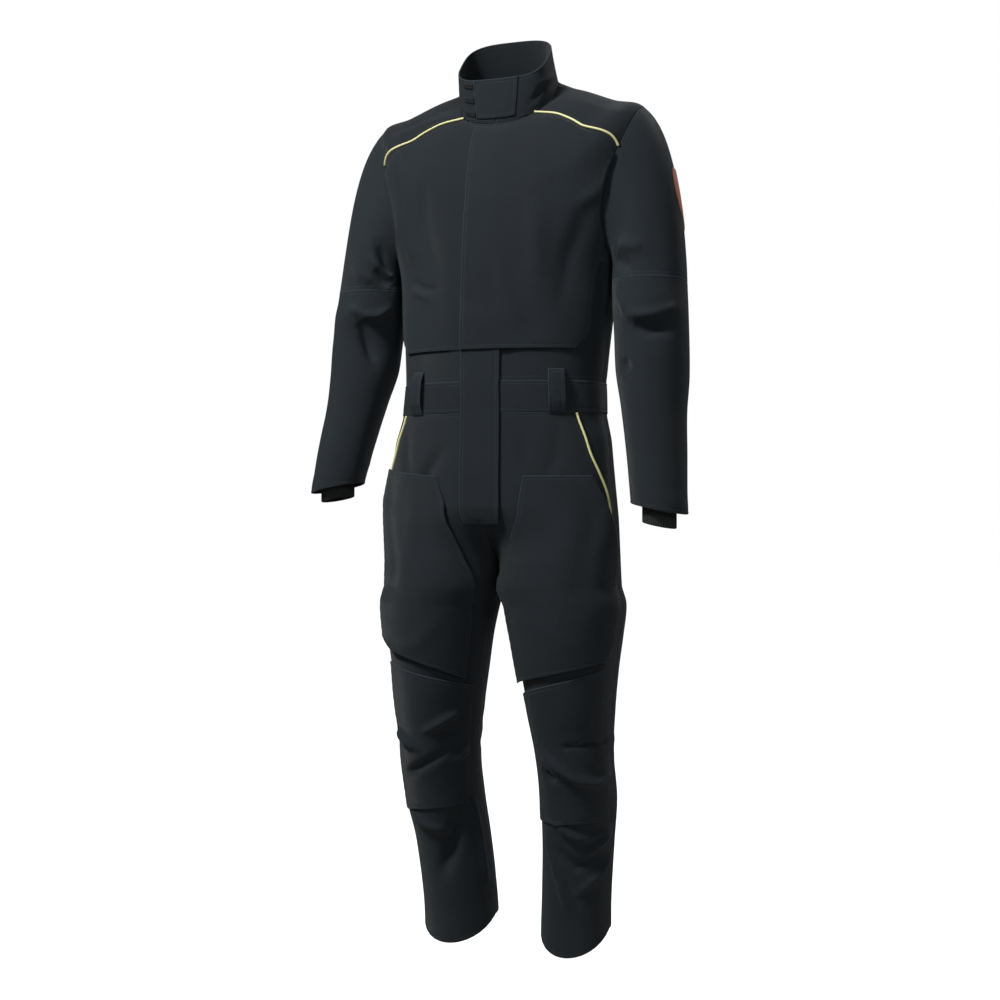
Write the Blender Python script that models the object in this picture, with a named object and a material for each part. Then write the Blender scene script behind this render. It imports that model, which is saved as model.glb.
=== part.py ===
"""Welding coverall of heavy dark twill, in the form that it has when worn.

Metres, +Z up, the front faces -Y and the wearer's left is +X. The origin is the middle
of the neck at shoulder height, where the garment hangs on its wearer.
"""
import math

import bpy
from mathutils import Vector

# Neck and collar
NECK_HALF_WIDTH = 0.088
NECK_FRONT = 0.051
NECK_BACK = 0.058
NECK_DROP_FRONT = 0.066
NECK_RISE_BACK = 0.028
RIM_HALF_WIDTH = 0.080
RIM_BACK = 0.034
COLLAR_HEIGHT_FRONT = 0.0625
COLLAR_HEIGHT_BACK = 0.070

# Shoulders, chest and waist
SHOULDER_HALF_WIDTH = 0.238
SHOULDER_DROP = 0.045
CHEST_FRONT = 0.111
CHEST_BACK = 0.116
WAIST_HALF_WIDTH = 0.176
WAIST_FRONT = 0.118
WAIST_BACK = 0.100
BODICE_LENGTH = 0.504
ARMHOLE_FRONT_ANGLE = 34.0
ARMHOLE_BACK_ANGLE = 32.0
SIDE_LINE_BACK = 0.034

# Waistband, trousers and legs
WAISTBAND_HEIGHT = 0.052
HIP_HALF_WIDTH = 0.205
HIP_FRONT = 0.121
HIP_BACK = 0.102
HIP_LINE_FRONT = -0.028
RISE = 0.289
INSEAM = 0.580
THIGH_HALF_WIDTH = 0.101
THIGH_HALF_DEPTH = 0.115
LEG_SPREAD = 0.116
LEG_SWEEP = 0.055
HEM_FRONT_DROP = 0.040

# Sleeves
SLEEVE_LENGTH_RIGHT = 0.635
SLEEVE_LENGTH_LEFT = 0.669
ELBOW_DROP = 0.290
SLEEVE_HALF_WIDTH = 0.0622
SLEEVE_HALF_DEPTH = 0.066
SLEEVE_SPREAD = 0.2905
SLEEVE_REACH = 0.064
SLEEVE_HEM_TILT = 0.20
CUFF_SHOWS_RIGHT = 0.019
CUFF_SHOWS_LEFT = 0.027
CUFF_LENGTH = 0.075
CUFF_HALF_WIDTH = 0.027
CUFF_HALF_DEPTH = 0.034

# Flaps, bands and trims
PLACKET_HALF_WIDTH = 0.034
PLACKET_LENGTH = 0.300
PLACKET_TUCK = 0.014
CHEST_PANEL_LENGTH = 0.452
CHEST_PANEL_CHAMFER = 0.028
THIGH_PANEL_TOP = 0.660
THIGH_PANEL_LENGTH = 0.338
KNEE_PATCH_TOP = 1.012
KNEE_PATCH_LENGTH = 0.198
BELT_LOOP_WIDTH = 0.034
BELT_LOOP_HEIGHT = 0.071
BELT_LOOP_BOW = 0.0075
PIPING_RADIUS = 0.0024
ARM_PATCH_WIDTH = 0.074
ARM_PATCH_HEIGHT = 0.102
ARM_PATCH_TOP = 0.150
GRIP_STRIP_WIDTH = 0.024
GRIP_STRIP_HEIGHT = 0.009

# Cloth walls and the clearances between pieces
CLOTH = 0.0020
FLAP_CLOTH = 0.0016
KNIT = 0.0024
LEATHER = 0.0018
SEAM_TRIM = 0.0003
SEWN_GAP = 0.0004
LAY_GAP = 0.0009
FLAP_LIFT = 0.0030
FLAP_STAND = 0.0110
FLAP_RIDGE = 0.0024
PATCH_GAP = 0.0022
BAND_PROUD = 0.0010
OVERLAP_STEP = LAY_GAP + FLAP_CLOTH

BAND_DROP = BODICE_LENGTH + WAISTBAND_HEIGHT

CLOTH_COLOUR = (0.022, 0.028, 0.031)
KNIT_COLOUR = (0.008, 0.009, 0.010)
PIPING_COLOUR = (0.72, 0.72, 0.26)
LEATHER_COLOUR = (0.40, 0.14, 0.09)
GRIP_COLOUR = (0.012, 0.014, 0.016)


def mix(a, b, share):
    return a + (b - a) * share


def smooth(edge0, edge1, value):
    share = min(max((value - edge0) / (edge1 - edge0), 0.0), 1.0)
    return share * share * (3.0 - 2.0 * share)


def spline(rows, place):
    """A smooth curve through the rows, each column by itself; place counts rows from 0."""
    last = len(rows) - 1
    place = min(max(place, 0.0), float(last))
    index = min(int(place), last - 1)
    s = place - index
    before = rows[max(index - 1, 0)]
    here = rows[index]
    there = rows[index + 1]
    after = rows[min(index + 2, last)]
    values = []
    for p0, p1, p2, p3 in zip(before, here, there, after):
        slope1 = 0.5 * (p2 - p0)
        slope2 = 0.5 * (p3 - p1)
        values.append((2 * s**3 - 3 * s**2 + 1) * p1 + (s**3 - 2 * s**2 + s) * slope1
                      + (-2 * s**3 + 3 * s**2) * p2 + (s**3 - s**2) * slope2)
    return values


def table_at(rows, key):
    """The rows of a table at a key in its first column, smoothly, without that column."""
    keys = [row[0] for row in rows]
    rising = keys[-1] > keys[0]
    for index in range(len(keys) - 1):
        inside = key <= keys[index + 1] if rising else key >= keys[index + 1]
        if inside or index == len(keys) - 2:
            break
    share = (key - keys[index]) / (keys[index + 1] - keys[index])
    return spline([row[1:] for row in rows], index + min(max(share, 0.0), 1.0))


def power(value, exponent):
    return math.copysign(abs(value) ** exponent, value)


# Torso: rings from the neck seam over the shoulders to the waist. Each ring has a half
# width, a front, a side line and a back depth, and a height at its front, side and back.
YOKE_RINGS = (
    # half width, front and back as shares of the way from the neck to the shoulders, side
    # line, drops at front, side and back as shares of their run, how fast the ring falls
    (0.00, 0.00, 0.00, 0.44, 0.000, 0.085, 0.000, 0.80),
    (0.31, 0.32, 0.44, 0.59, 0.086, -0.16, 0.048, 1.20),
    (0.66, 0.57, 0.74, 0.76, 0.178, -0.60, 0.125, 1.60),
    (1.00, 0.73, 0.90, 1.00, 0.274, -1.00, 0.222, 2.00),
)
CHEST_RINGS = (
    # half width as a share of the way from waist to shoulders, front and back as shares of
    # the chest's depths, side line, drops at front, side and back
    (0.96, 0.90, 0.97, 0.94, 0.337, 0.158, 0.352),
    (0.66, 0.96, 1.00, 0.82, 0.438, 0.365, 0.500),
    (0.27, 1.00, 0.98, 0.65, 0.540, 0.580, 0.645),
)
WAIST_RINGS = (
    # half width and depth as shares of the way from the waist, side line, drops
    (0.14, 0.52, 0.29, 0.664, 0.757, 0.793),
    (0.06, 0.22, 0.03, 0.837, 0.878, 0.897),
    (0.00, 0.00, -0.15, 1.000, 1.000, 1.000),
)
ROUND_FALL = 2.0
ROUNDNESS = 2.0 / 2.25


def torso_rings():
    rings = []
    front_run = BODICE_LENGTH - NECK_DROP_FRONT
    side_run = BODICE_LENGTH - SHOULDER_DROP
    back_run = BODICE_LENGTH + NECK_RISE_BACK
    for wide, front, back, line, zf, zs, zb, fall in YOKE_RINGS:
        rings.append((
            mix(NECK_HALF_WIDTH, SHOULDER_HALF_WIDTH, wide),
            -mix(NECK_FRONT, CHEST_FRONT, front),
            SIDE_LINE_BACK * line,
            mix(NECK_BACK, CHEST_BACK, back),
            -NECK_DROP_FRONT - zf * front_run,
            SHOULDER_DROP * zs,
            NECK_RISE_BACK - zb * back_run,
            fall,
        ))
    lower = [(wide, CHEST_FRONT * front, CHEST_BACK * back, line, zf, zs, zb)
             for wide, front, back, line, zf, zs, zb in CHEST_RINGS]
    lower += [(wide, mix(WAIST_FRONT, CHEST_FRONT, deep), mix(WAIST_BACK, CHEST_BACK, deep),
               line, zf, zs, zb) for wide, deep, line, zf, zs, zb in WAIST_RINGS]
    for wide, front, back, line, zf, zs, zb in lower:
        rings.append((
            mix(WAIST_HALF_WIDTH, SHOULDER_HALF_WIDTH, wide),
            -front,
            SIDE_LINE_BACK * line,
            back,
            -NECK_DROP_FRONT - zf * front_run,
            -SHOULDER_DROP - zs * side_run,
            NECK_RISE_BACK - zb * back_run,
            ROUND_FALL,
        ))
    return rings


TORSO_RINGS = torso_rings()
RING_COUNT = len(TORSO_RINGS) - 1
TIP_RING = len(YOKE_RINGS) - 1
ARMPIT_RING = TIP_RING + 3


def ring_point(half_width, front, line, back, front_z, side_z, back_z, fall, angle):
    """A point of a ring that is wider than deep; angle 0 is the front, 90 the left side."""
    s = math.sin(math.radians(angle))
    c = math.cos(math.radians(angle))
    x = half_width * power(s, ROUNDNESS)
    deep = abs(c) ** ROUNDNESS
    reach = abs(c) ** fall
    if c >= 0:
        return Vector((x, mix(line, front, deep), mix(side_z, front_z, reach)))
    return Vector((x, mix(line, back, deep), mix(side_z, back_z, reach)))


def torso_point(angle, ring):
    return ring_point(*spline(TORSO_RINGS, ring), angle)


def normal_of(surface, u, v, step_u, step_v):
    along = surface(u + step_u, v) - surface(u - step_u, v)
    down = surface(u, v + step_v) - surface(u, v - step_v)
    return down.cross(along).normalized()


def torso_place(angle, ring):
    near = min(max(ring, 0.02), RING_COUNT - 0.02)
    return torso_point(angle, ring), normal_of(torso_point, angle, near, 0.5, 0.02)


# Armhole: a closed line on the torso, from the shoulder tip through front and armpit
ARMHOLE_TOP = TIP_RING - 0.05
ARMHOLE_STATIONS = (0, 30, 60, 79, 98, 117, 138, 159, 180)
YOKE_STATION = 2


def armhole_spot(turn):
    """Angle and ring of the left armhole; turn runs from 0 at the tip, 90 in front."""
    middle = 0.5 * (ARMHOLE_TOP + ARMPIT_RING)
    half = 0.5 * (ARMPIT_RING - ARMHOLE_TOP)
    s = math.sin(math.radians(turn))
    reach = ARMHOLE_FRONT_ANGLE if s > 0 else ARMHOLE_BACK_ANGLE
    return 90.0 - reach * s, middle - half * math.cos(math.radians(turn))


# Front yoke seam from neck to armhole: angle and ring of each of its points
YOKE_SEAM = (
    # angle, ring
    (38.5, 0.00),
    (47.5, 0.72),
    (50.5, 1.40),
    (50.5, 2.15),
    (52.5, 2.95),
)
NECK_STATIONS_FRONT = (0, 13, 26)
NECK_STATIONS_YOKE = (38.5, 46, 54, 62, 69, 75, 82.5, 90, 97.5, 105, 130, 155, 180)
BACK_YOKE_RING = 2.9
BACK_YOKE_SHARES = (0.0, 0.36, 0.70, 1.0)


def yoke_edge_left():
    """Outer edge of the yoke, from the front of the neck round to the middle of the back."""
    edge = [spot for spot in YOKE_SEAM]
    for turn in (60, 30, 0, -30, -60):
        edge.append(armhole_spot(turn))
    start = armhole_spot(-60)
    for share in BACK_YOKE_SHARES[1:]:
        ease = smooth(0.0, 1.0, share)
        edge.append((mix(start[0], 180.0, share), mix(start[1], BACK_YOKE_RING, ease)))
    return edge


def mirror_spots(spots):
    return [(360.0 - angle, ring) for angle, ring in spots]


def between(top, bottom, left, right):
    """Spots inside four edges of spots; left and right run from top to bottom."""
    rows = []
    count_u = len(top) - 1
    count_v = len(left) - 1
    for j in range(count_v + 1):
        v = j / count_v
        row = []
        for i in range(count_u + 1):
            u = i / count_u
            spot = []
            for k in (0, 1):
                value = mix(left[j][k], right[j][k], u)
                value += (1 - v) ** 3 * (top[i][k] - mix(top[0][k], top[-1][k], u))
                value += v ** 3 * (bottom[i][k] - mix(bottom[0][k], bottom[-1][k], u))
                spot.append(value)
            row.append(tuple(spot))
        rows.append(row)
    return rows


# Solids
def material_of(name, colour, roughness):
    material = bpy.data.materials.new(name)
    material.use_nodes = True
    shader = material.node_tree.nodes["Principled BSDF"]
    shader.inputs["Base Color"].default_value = (*colour, 1.0)
    shader.inputs["Roughness"].default_value = roughness
    shader.inputs["Metallic"].default_value = 0.0
    material.diffuse_color = (*colour, 1.0)
    return material


def add_object(name, points, faces, colour, roughness=0.9):
    mesh = bpy.data.meshes.new(name)
    mesh.from_pydata([tuple(p) for p in points], [], faces)
    volume = 0.0
    for face in faces:
        a = points[face[0]]
        for k in range(1, len(face) - 1):
            volume += a.dot(points[face[k]].cross(points[face[k + 1]]))
    if volume < 0:
        mesh.flip_normals()
    mesh.update()
    mesh.materials.append(material_of(name, colour, roughness))
    mesh.shade_smooth()
    mesh.set_sharp_from_angle(angle=math.radians(50))
    piece = bpy.data.objects.new(name, mesh)
    bpy.context.scene.collection.objects.link(piece)
    return piece


def slide(rows, trims, loop):
    """Vectors that move each edge point of a grid inwards by its trim, along the cloth."""
    count_v = len(rows)
    count_u = len(rows[0])
    moves = [[Vector((0, 0, 0)) for _ in row] for row in rows]
    top, bottom, left, right = trims
    for i in range(count_u):
        moves[0][i] += (rows[1][i] - rows[0][i]).normalized() * top
        moves[-1][i] += (rows[-2][i] - rows[-1][i]).normalized() * bottom
    if not loop:
        for j in range(count_v):
            moves[j][0] += (rows[j][1] - rows[j][0]).normalized() * left
            moves[j][-1] += (rows[j][-2] - rows[j][-1]).normalized() * right
    return moves


def cloth(name, places, low, high, colour=CLOTH_COLOUR, trims=(0, 0, 0, 0), loop=False):
    """A closed wall over a grid of (point, normal), from low to high above the points.

    low and high are heights, or functions of the row and column.
    """
    rows = [[point for point, _ in row] for row in places]
    moves = slide(rows, trims, loop)
    count_v = len(rows)
    count_u = len(rows[0])
    points = []
    for level in (high, low):
        for j in range(count_v):
            for i in range(count_u):
                lift = level(j, i) if callable(level) else level
                points.append(rows[j][i] + moves[j][i] + places[j][i][1] * lift)
    faces = []
    wide = count_u if loop else count_u - 1
    inner = count_v * count_u

    def at(layer, j, i):
        return layer * inner + j * count_u + i % count_u

    for j in range(count_v - 1):
        for i in range(wide):
            faces.append((at(0, j, i), at(0, j, i + 1), at(0, j + 1, i + 1), at(0, j + 1, i)))
            faces.append((at(1, j, i), at(1, j + 1, i), at(1, j + 1, i + 1), at(1, j, i + 1)))
    for i in range(wide):
        faces.append((at(0, 0, i + 1), at(0, 0, i), at(1, 0, i), at(1, 0, i + 1)))
        last = count_v - 1
        faces.append((at(0, last, i), at(0, last, i + 1), at(1, last, i + 1), at(1, last, i)))
    if not loop:
        last = count_u - 1
        for j in range(count_v - 1):
            faces.append((at(0, j, 0), at(0, j + 1, 0), at(1, j + 1, 0), at(1, j, 0)))
            faces.append((at(0, j + 1, last), at(0, j, last), at(1, j, last),
                          at(1, j + 1, last)))
    return add_object(name, points, faces, colour)


def piping(name, places, radius, sides=6):
    """A round cord along a list of (point, normal), its middle a radius and a gap above."""
    middles = [point + normal * (radius + LAY_GAP) for point, normal in places]
    points = []
    faces = []
    count = len(middles)
    for k in range(count):
        ahead = middles[min(k + 1, count - 1)] - middles[max(k - 1, 0)]
        up = places[k][1]
        across = ahead.cross(up).normalized()
        rise = across.cross(ahead).normalized()
        for side in range(sides):
            turn = 2 * math.pi * side / sides
            points.append(middles[k] + (across * math.cos(turn) + rise * math.sin(turn)) * radius)
    for k in range(count - 1):
        for side in range(sides):
            nxt = (side + 1) % sides
            faces.append((k * sides + side, k * sides + nxt,
                          (k + 1) * sides + nxt, (k + 1) * sides + side))
    faces.append(tuple(reversed(range(sides))))
    faces.append(tuple((count - 1) * sides + side for side in range(sides)))
    return add_object(name, points, faces, PIPING_COLOUR, 0.6)


def torso_grid(spots):
    return [[torso_place(*spot) for spot in row] for row in spots]


# Bodice
def side_seam_rings(count):
    return [mix(ARMPIT_RING, RING_COUNT, k / count) for k in range(1, count + 1)]


# Rows of the bodice front at its middle, as shares of the way down to the armpit ring
CENTRE_SHARES = (0.0, 0.26, 0.50, 0.69, 0.86, 0.99, 1.06)


def front_edges():
    """The four edges of the left bodice front as spots on the torso."""
    top = [(angle, 0.0) for angle in NECK_STATIONS_FRONT]
    top += [spot for spot in YOKE_SEAM]
    top.append(armhole_spot(ARMHOLE_STATIONS[YOKE_STATION]))
    right = [armhole_spot(turn) for turn in ARMHOLE_STATIONS[YOKE_STATION:]]
    right += [(90.0, ring) for ring in side_seam_rings(5)]
    bottom = [(90.0 * i / (len(top) - 1), RING_COUNT) for i in range(len(top))]
    left = [(0.0, ARMPIT_RING * share) for share in CENTRE_SHARES]
    left += [(0.0, mix(left[-1][1], RING_COUNT, k / 5)) for k in range(1, 6)]
    return top, bottom, left, right


def build_bodice():
    spots = between(*front_edges())
    seams = (SEAM_TRIM,) * 4
    cloth("bodice_front_left", torso_grid(spots), -CLOTH, 0.0, trims=seams)
    mirrored = [mirror_spots(row) for row in spots]
    cloth("bodice_front_right", torso_grid(mirrored), -CLOTH, 0.0, trims=seams)

    half = yoke_edge_left()[-len(BACK_YOKE_SHARES):]
    top = half + mirror_spots(half[:-1])[::-1]
    left = [armhole_spot(-turn) for turn in ARMHOLE_STATIONS[YOKE_STATION:]]
    left += [(90.0, ring) for ring in side_seam_rings(5)]
    right = mirror_spots(left)
    bottom = [(mix(90.0, 270.0, i / (len(top) - 1)), RING_COUNT) for i in range(len(top))]
    spots = between(top, bottom, left, right)
    cloth("bodice_back", torso_grid(spots), -CLOTH, 0.0, trims=seams)


def build_yoke():
    outer = yoke_edge_left()
    inner = [(angle, 0.0) for angle in NECK_STATIONS_YOKE]
    outer[0] = (outer[0][0] + 3.5, 0.14)
    columns = []
    for (angle0, ring0), (angle1, ring1) in zip(inner, outer):
        columns.append([(mix(angle0, angle1, v), mix(ring0, ring1, v))
                        for v in (0.0, 0.3, 0.65, 1.0)])
    right = [mirror_spots(column) for column in columns[:-1]]
    columns = columns + right[::-1]
    rows = [[column[j] for column in columns] for j in range(4)]
    cloth("shoulder_yoke", torso_grid(rows), -CLOTH, 0.0, trims=(SEAM_TRIM,) * 4)
    for side in ("left", "right"):
        path = []
        seam = [(angle, ring) for angle, ring in YOKE_SEAM] + [armhole_spot(60)]
        for k in range(13):
            angle, ring = spline(seam, 0.06 + k / 12 * (len(seam) - 1.1))
            angle = angle if side == "left" else 360.0 - angle
            path.append(torso_place(angle, ring))
        piping("yoke_piping_" + side, path, PIPING_RADIUS)


# Collar: a band that stands on the neck seam, closed in front by a tab
COLLAR_LEVELS = (0.0, 0.35, 0.7, 1.0)
RIM_LINE = -0.014
GRIP_LEVELS = (0.86, 0.52, 0.20)
GRIP_STEP = 1.5


def collar_point(angle, level):
    base = torso_point(angle, 0.0)
    c = math.cos(math.radians(angle))
    s = math.sin(math.radians(angle))
    x = RIM_HALF_WIDTH * power(s, ROUNDNESS)
    line = RIM_LINE
    y = mix(line, -NECK_FRONT if c > 0 else RIM_BACK, abs(c) ** ROUNDNESS)
    front_z = -NECK_DROP_FRONT + COLLAR_HEIGHT_FRONT
    back_z = NECK_RISE_BACK + COLLAR_HEIGHT_BACK
    rim = Vector((x, y, mix(front_z, back_z, 0.5 - 0.5 * c)))
    lean = level ** 0.8
    return Vector((mix(base.x, rim.x, lean), mix(base.y, rim.y, lean),
                   mix(base.z, rim.z, level)))


def collar_place(angle, level):
    near = min(max(level, 0.04), 0.96)
    normal = normal_of(collar_point, angle, near, 0.5, -0.03)
    return collar_point(angle, level), normal


def build_collar():
    half = list(NECK_STATIONS_FRONT[1:]) + list(NECK_STATIONS_YOKE)
    angles = [0.4] + half + [360 - a for a in half[:-1]][::-1] + [359.6]
    rows = [[collar_place(a, level) for a in angles] for level in COLLAR_LEVELS[::-1]]
    cloth("collar_band", rows, -CLOTH, 0.0, trims=(0, 2 * SEAM_TRIM, 0, 0))
    tab = math.degrees(math.asin((PLACKET_HALF_WIDTH / RIM_HALF_WIDTH) ** (1 / ROUNDNESS)))
    rows = [[collar_place(mix(-tab, tab, i / 4), level) for i in range(5)]
            for level in (1.0, 0.7, 0.35, 0.05)]
    cloth("collar_tab", rows, LAY_GAP, LAY_GAP + FLAP_CLOTH)
    reach = math.degrees(GRIP_STRIP_WIDTH / RIM_HALF_WIDTH)
    tall = 0.5 * GRIP_STRIP_HEIGHT / COLLAR_HEIGHT_FRONT
    for number, level in enumerate(GRIP_LEVELS):
        rows = [[collar_place(-tab - GRIP_STEP - reach * i / 2, level + up) for i in (2, 1, 0)]
                for up in (tall, -tall)]
        cloth("collar_grip_%d" % (number + 1), rows, LAY_GAP, LAY_GAP + FLAP_CLOTH,
              GRIP_COLOUR)


# Front flaps: the chest panels hang from the yoke, the placket runs down to the fork
def ring_at_drop(angle, drop):
    """The ring whose point at this angle lies at this depth below the origin."""
    low = 0.0
    high = float(RING_COUNT)
    for _ in range(30):
        middle = 0.5 * (low + high)
        if -torso_point(angle, middle).z < drop:
            low = middle
        else:
            high = middle
    return 0.5 * (low + high)


def angle_at_width(x, ring):
    half_width = spline(TORSO_RINGS, ring)[0]
    return math.degrees(math.asin(power(x / half_width, 1 / ROUNDNESS)))


# A chest panel keeps this many degrees and rings clear of the seams round it
PANEL_INSET = 2.4
PANEL_TOP_RING = 0.24
PANEL_YOKE_STEP = (-0.6 * PANEL_INSET, 0.36)
PANEL_ARMHOLE_STEP = 0.12
PANEL_CORNER_SPAN = 7.0
PANEL_SIDE_SHARES = (0.34, 0.67, 1.0)
PANEL_LAP = 0.012


def chest_panel_spots(inner_x):
    """Edges of a chest panel on the left side; inner_x is where its free edge lies."""
    top = [(angle_at_width(inner_x, 0.0), PANEL_TOP_RING), (20.0, PANEL_TOP_RING)]
    top += [(angle + PANEL_YOKE_STEP[0], ring + PANEL_YOKE_STEP[1])
            for angle, ring in YOKE_SEAM]
    angle, ring = armhole_spot(ARMHOLE_STATIONS[YOKE_STATION])
    top.append((angle - PANEL_INSET, ring + PANEL_ARMHOLE_STEP))
    right = [top[-1]]
    for turn in ARMHOLE_STATIONS[YOKE_STATION + 1:-2]:
        angle, ring = armhole_spot(turn)
        right.append((angle - PANEL_INSET, ring))
    side_angle, side_ring = right[-1]
    low_ring = ring_at_drop(side_angle, CHEST_PANEL_LENGTH - CHEST_PANEL_CHAMFER)
    for share in PANEL_SIDE_SHARES:
        right.append((side_angle - share, mix(side_ring, low_ring, share)))
    corner = side_angle - PANEL_CORNER_SPAN
    right.append((corner, ring_at_drop(corner, CHEST_PANEL_LENGTH)))
    start = angle_at_width(inner_x, RING_COUNT - 1)
    bottom = []
    for i in range(len(top)):
        angle = mix(start, corner, i / (len(top) - 1))
        bottom.append((angle, ring_at_drop(angle, CHEST_PANEL_LENGTH)))
    free_rows = 4
    left = []
    for j in range(len(right)):
        ring = max(ARMPIT_RING * CENTRE_SHARES[min(j, free_rows)], PANEL_TOP_RING)
        if j > free_rows:
            ring = mix(ring, bottom[0][1], (j - free_rows) / (len(right) - 1 - free_rows))
        left.append((angle_at_width(inner_x, ring), ring))
    return between(top, bottom, left, right)


def ridge_by_yoke(row, x):
    """Extra height of a chest panel's outer part over its first rows, by the yoke seam."""
    return FLAP_RIDGE * smooth(5.0, 1.0, row) * smooth(0.050, 0.110, x)


def build_chest_panels():
    left_rows = torso_grid(chest_panel_spots(-PLACKET_HALF_WIDTH))
    right_rows = torso_grid([mirror_spots(row) for row in chest_panel_spots(PANEL_LAP)])

    def left_low(j, i):
        """The left panel laps over the right one, and over the placket's upper end."""
        point = left_rows[j][i][0]
        lap = 1.0 - smooth(0.0, 0.050, point.x)
        end = smooth(CHEST_PANEL_LENGTH - 0.085, CHEST_PANEL_LENGTH - 0.045, -point.z)
        end *= 1.0 - smooth(PLACKET_HALF_WIDTH, PLACKET_HALF_WIDTH + 0.040, point.x)
        lift = mix(FLAP_LIFT, LAY_GAP + 1.5 * OVERLAP_STEP, lap)
        return lift + 1.3 * OVERLAP_STEP * end + ridge_by_yoke(j, point.x)

    def left_high(j, i):
        return left_low(j, i) + FLAP_CLOTH

    def right_low(j, i):
        x = -right_rows[j][i][0].x
        lap = 1.0 - smooth(PLACKET_HALF_WIDTH, 2 * PLACKET_HALF_WIDTH, x)
        return mix(FLAP_LIFT, LAY_GAP, lap) + ridge_by_yoke(j, x)

    def right_high(j, i):
        return right_low(j, i) + FLAP_CLOTH

    cloth("chest_panel_left", left_rows, left_low, left_high)
    cloth("chest_panel_right", right_rows, right_low, right_high)


# Trousers: half rings of the hips that part into a ring for each leg below the fork
HIP_ROWS = (
    # drop below the waistband as a share of the rise, half width, front, side line, back
    (0.00, 0.875, 0.975, 0.43, 0.960),
    (0.15, 0.925, 0.985, 0.71, 0.970),
    (0.35, 0.960, 1.000, 1.00, 0.990),
    (0.60, 0.985, 1.000, 0.79, 1.000),
    (1.00, 1.000, 1.000, 0.36, 1.000),
)
LEG_ROWS = (
    # drop below the fork as a share of the inseam, middle across, middle back,
    # half width, half depth, drop of the front edge
    (-0.25, 0.855, -0.25, 0.990, 1.00, 0.00),
    (0.00, 0.885, -0.20, 1.000, 1.00, 0.00),
    (0.05, 0.980, -0.18, 0.965, 0.99, 0.00),
    (0.14, 1.010, -0.18, 0.885, 0.94, 0.00),
    (0.24, 1.020, -0.16, 0.805, 0.86, 0.00),
    (0.34, 1.040, -0.12, 0.735, 0.78, 0.00),
    (0.50, 1.070, 0.12, 0.650, 0.68, 0.00),
    (0.62, 1.070, 0.42, 0.650, 0.64, 0.05),
    (0.76, 1.005, 0.74, 0.625, 0.60, 0.25),
    (0.90, 0.945, 0.94, 0.615, 0.58, 0.60),
    (1.00, 0.920, 1.00, 0.620, 0.58, 1.00),
)
FORK_START = 0.52
LEG_GIRTH = {"left": 0.96, "right": 1.03}
# Main folds at the knee and below it: ridges are above and dents below the smooth leg
LEG_FOLDS = {
    "left": (
        # share of the inseam, turn from the inseam, reach down, reach round, height
        (0.42, 40.0, 0.045, 50.0, -0.0035),
        (0.53, 20.0, 0.050, 60.0, 0.0030),
        (0.69, -20.0, 0.050, 40.0, 0.0040),
        (0.80, 35.0, 0.060, 40.0, -0.0040),
    ),
    "right": (
        # share of the inseam, turn from the inseam, reach down, reach round, height
        (0.44, 30.0, 0.045, 50.0, -0.0030),
        (0.53, 10.0, 0.050, 60.0, 0.0030),
        (0.68, 20.0, 0.050, 45.0, 0.0045),
        (0.77, -30.0, 0.070, 35.0, -0.0060),
    ),
}


def fold_height(folds, place, turn):
    """The sum of soft ridges and dents at a place along and a turn round a tube."""
    height = 0.0
    for middle, centre, along, around, rise in folds:
        away = ((turn - centre + 180.0) % 360.0 - 180.0) / around
        height += rise * math.exp(-((place - middle) / along) ** 2 - away * away)
    return height


def hip_ring(drop):
    width, front, line, back = table_at(HIP_ROWS, drop / RISE)
    return HIP_HALF_WIDTH * width, HIP_FRONT * front, HIP_LINE_FRONT * line, HIP_BACK * back


def trouser_point(side, part, u, drop):
    """The left leg's cloth; u runs 0 to 1 from the middle or inseam to the side seam."""
    if u < 0 and drop < RISE:
        point = trouser_point(side, part, -u, drop)
        point.x = -point.x
        return point
    if u < 0:
        return trouser_point(side, "back" if part == "front" else "front", -u, drop)
    if u > 1:
        return trouser_point(side, "back" if part == "front" else "front", 2 - u, drop)
    half_width, front, line, back = hip_ring(drop)
    theta = math.radians(90 * u)
    x = half_width * power(math.sin(theta), ROUNDNESS)
    reach = power(math.cos(theta), ROUNDNESS)
    y = line - (front + line) * reach if part == "front" else line + (back - line) * reach
    hip = Vector((x, y, -BAND_DROP - drop))
    share = (drop - RISE) / INSEAM
    cx, cy, a, b, low = table_at(LEG_ROWS, max(share, -0.25))
    turn = math.radians(-90 + 180 * u)
    deep = math.cos(turn) * (-1 if part == "front" else 1)
    girth = mix(1.0, LEG_GIRTH[side], smooth(0.1, 0.5, share))
    around = -90 + 180 * u if part == "front" else 270 - 180 * u
    girth += fold_height(LEG_FOLDS[side], share, around) / THIGH_HALF_WIDTH
    sag = HEM_FRONT_DROP * low * (-0.5 * deep + 0.5 * abs(deep) - 0.15 * max(deep, 0.0))
    leg = Vector((LEG_SPREAD * cx + THIGH_HALF_WIDTH * a * girth * math.sin(turn),
                  LEG_SWEEP * cy + THIGH_HALF_DEPTH * b * deep * girth,
                  -BAND_DROP - drop - sag))
    part_way = smooth(FORK_START * RISE, RISE, drop)
    return hip.lerp(leg, part_way)


def trouser_place(side, part, u, drop):
    def surface(a, b):
        return trouser_point(side, part, a, b)

    near = min(max(drop, 0.004), RISE + INSEAM - 0.004)
    normal = normal_of(surface, u, near, 0.01, 0.004)
    point = surface(u, drop)
    if part == "back":
        normal = -normal
    if u == 0.0 and drop < RISE - 0.001:
        normal.x = 0.0
        normal.normalize()
    if side == "right":
        point = Vector((-point.x, point.y, point.z))
        normal = Vector((-normal.x, normal.y, normal.z))
    return point, normal


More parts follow.
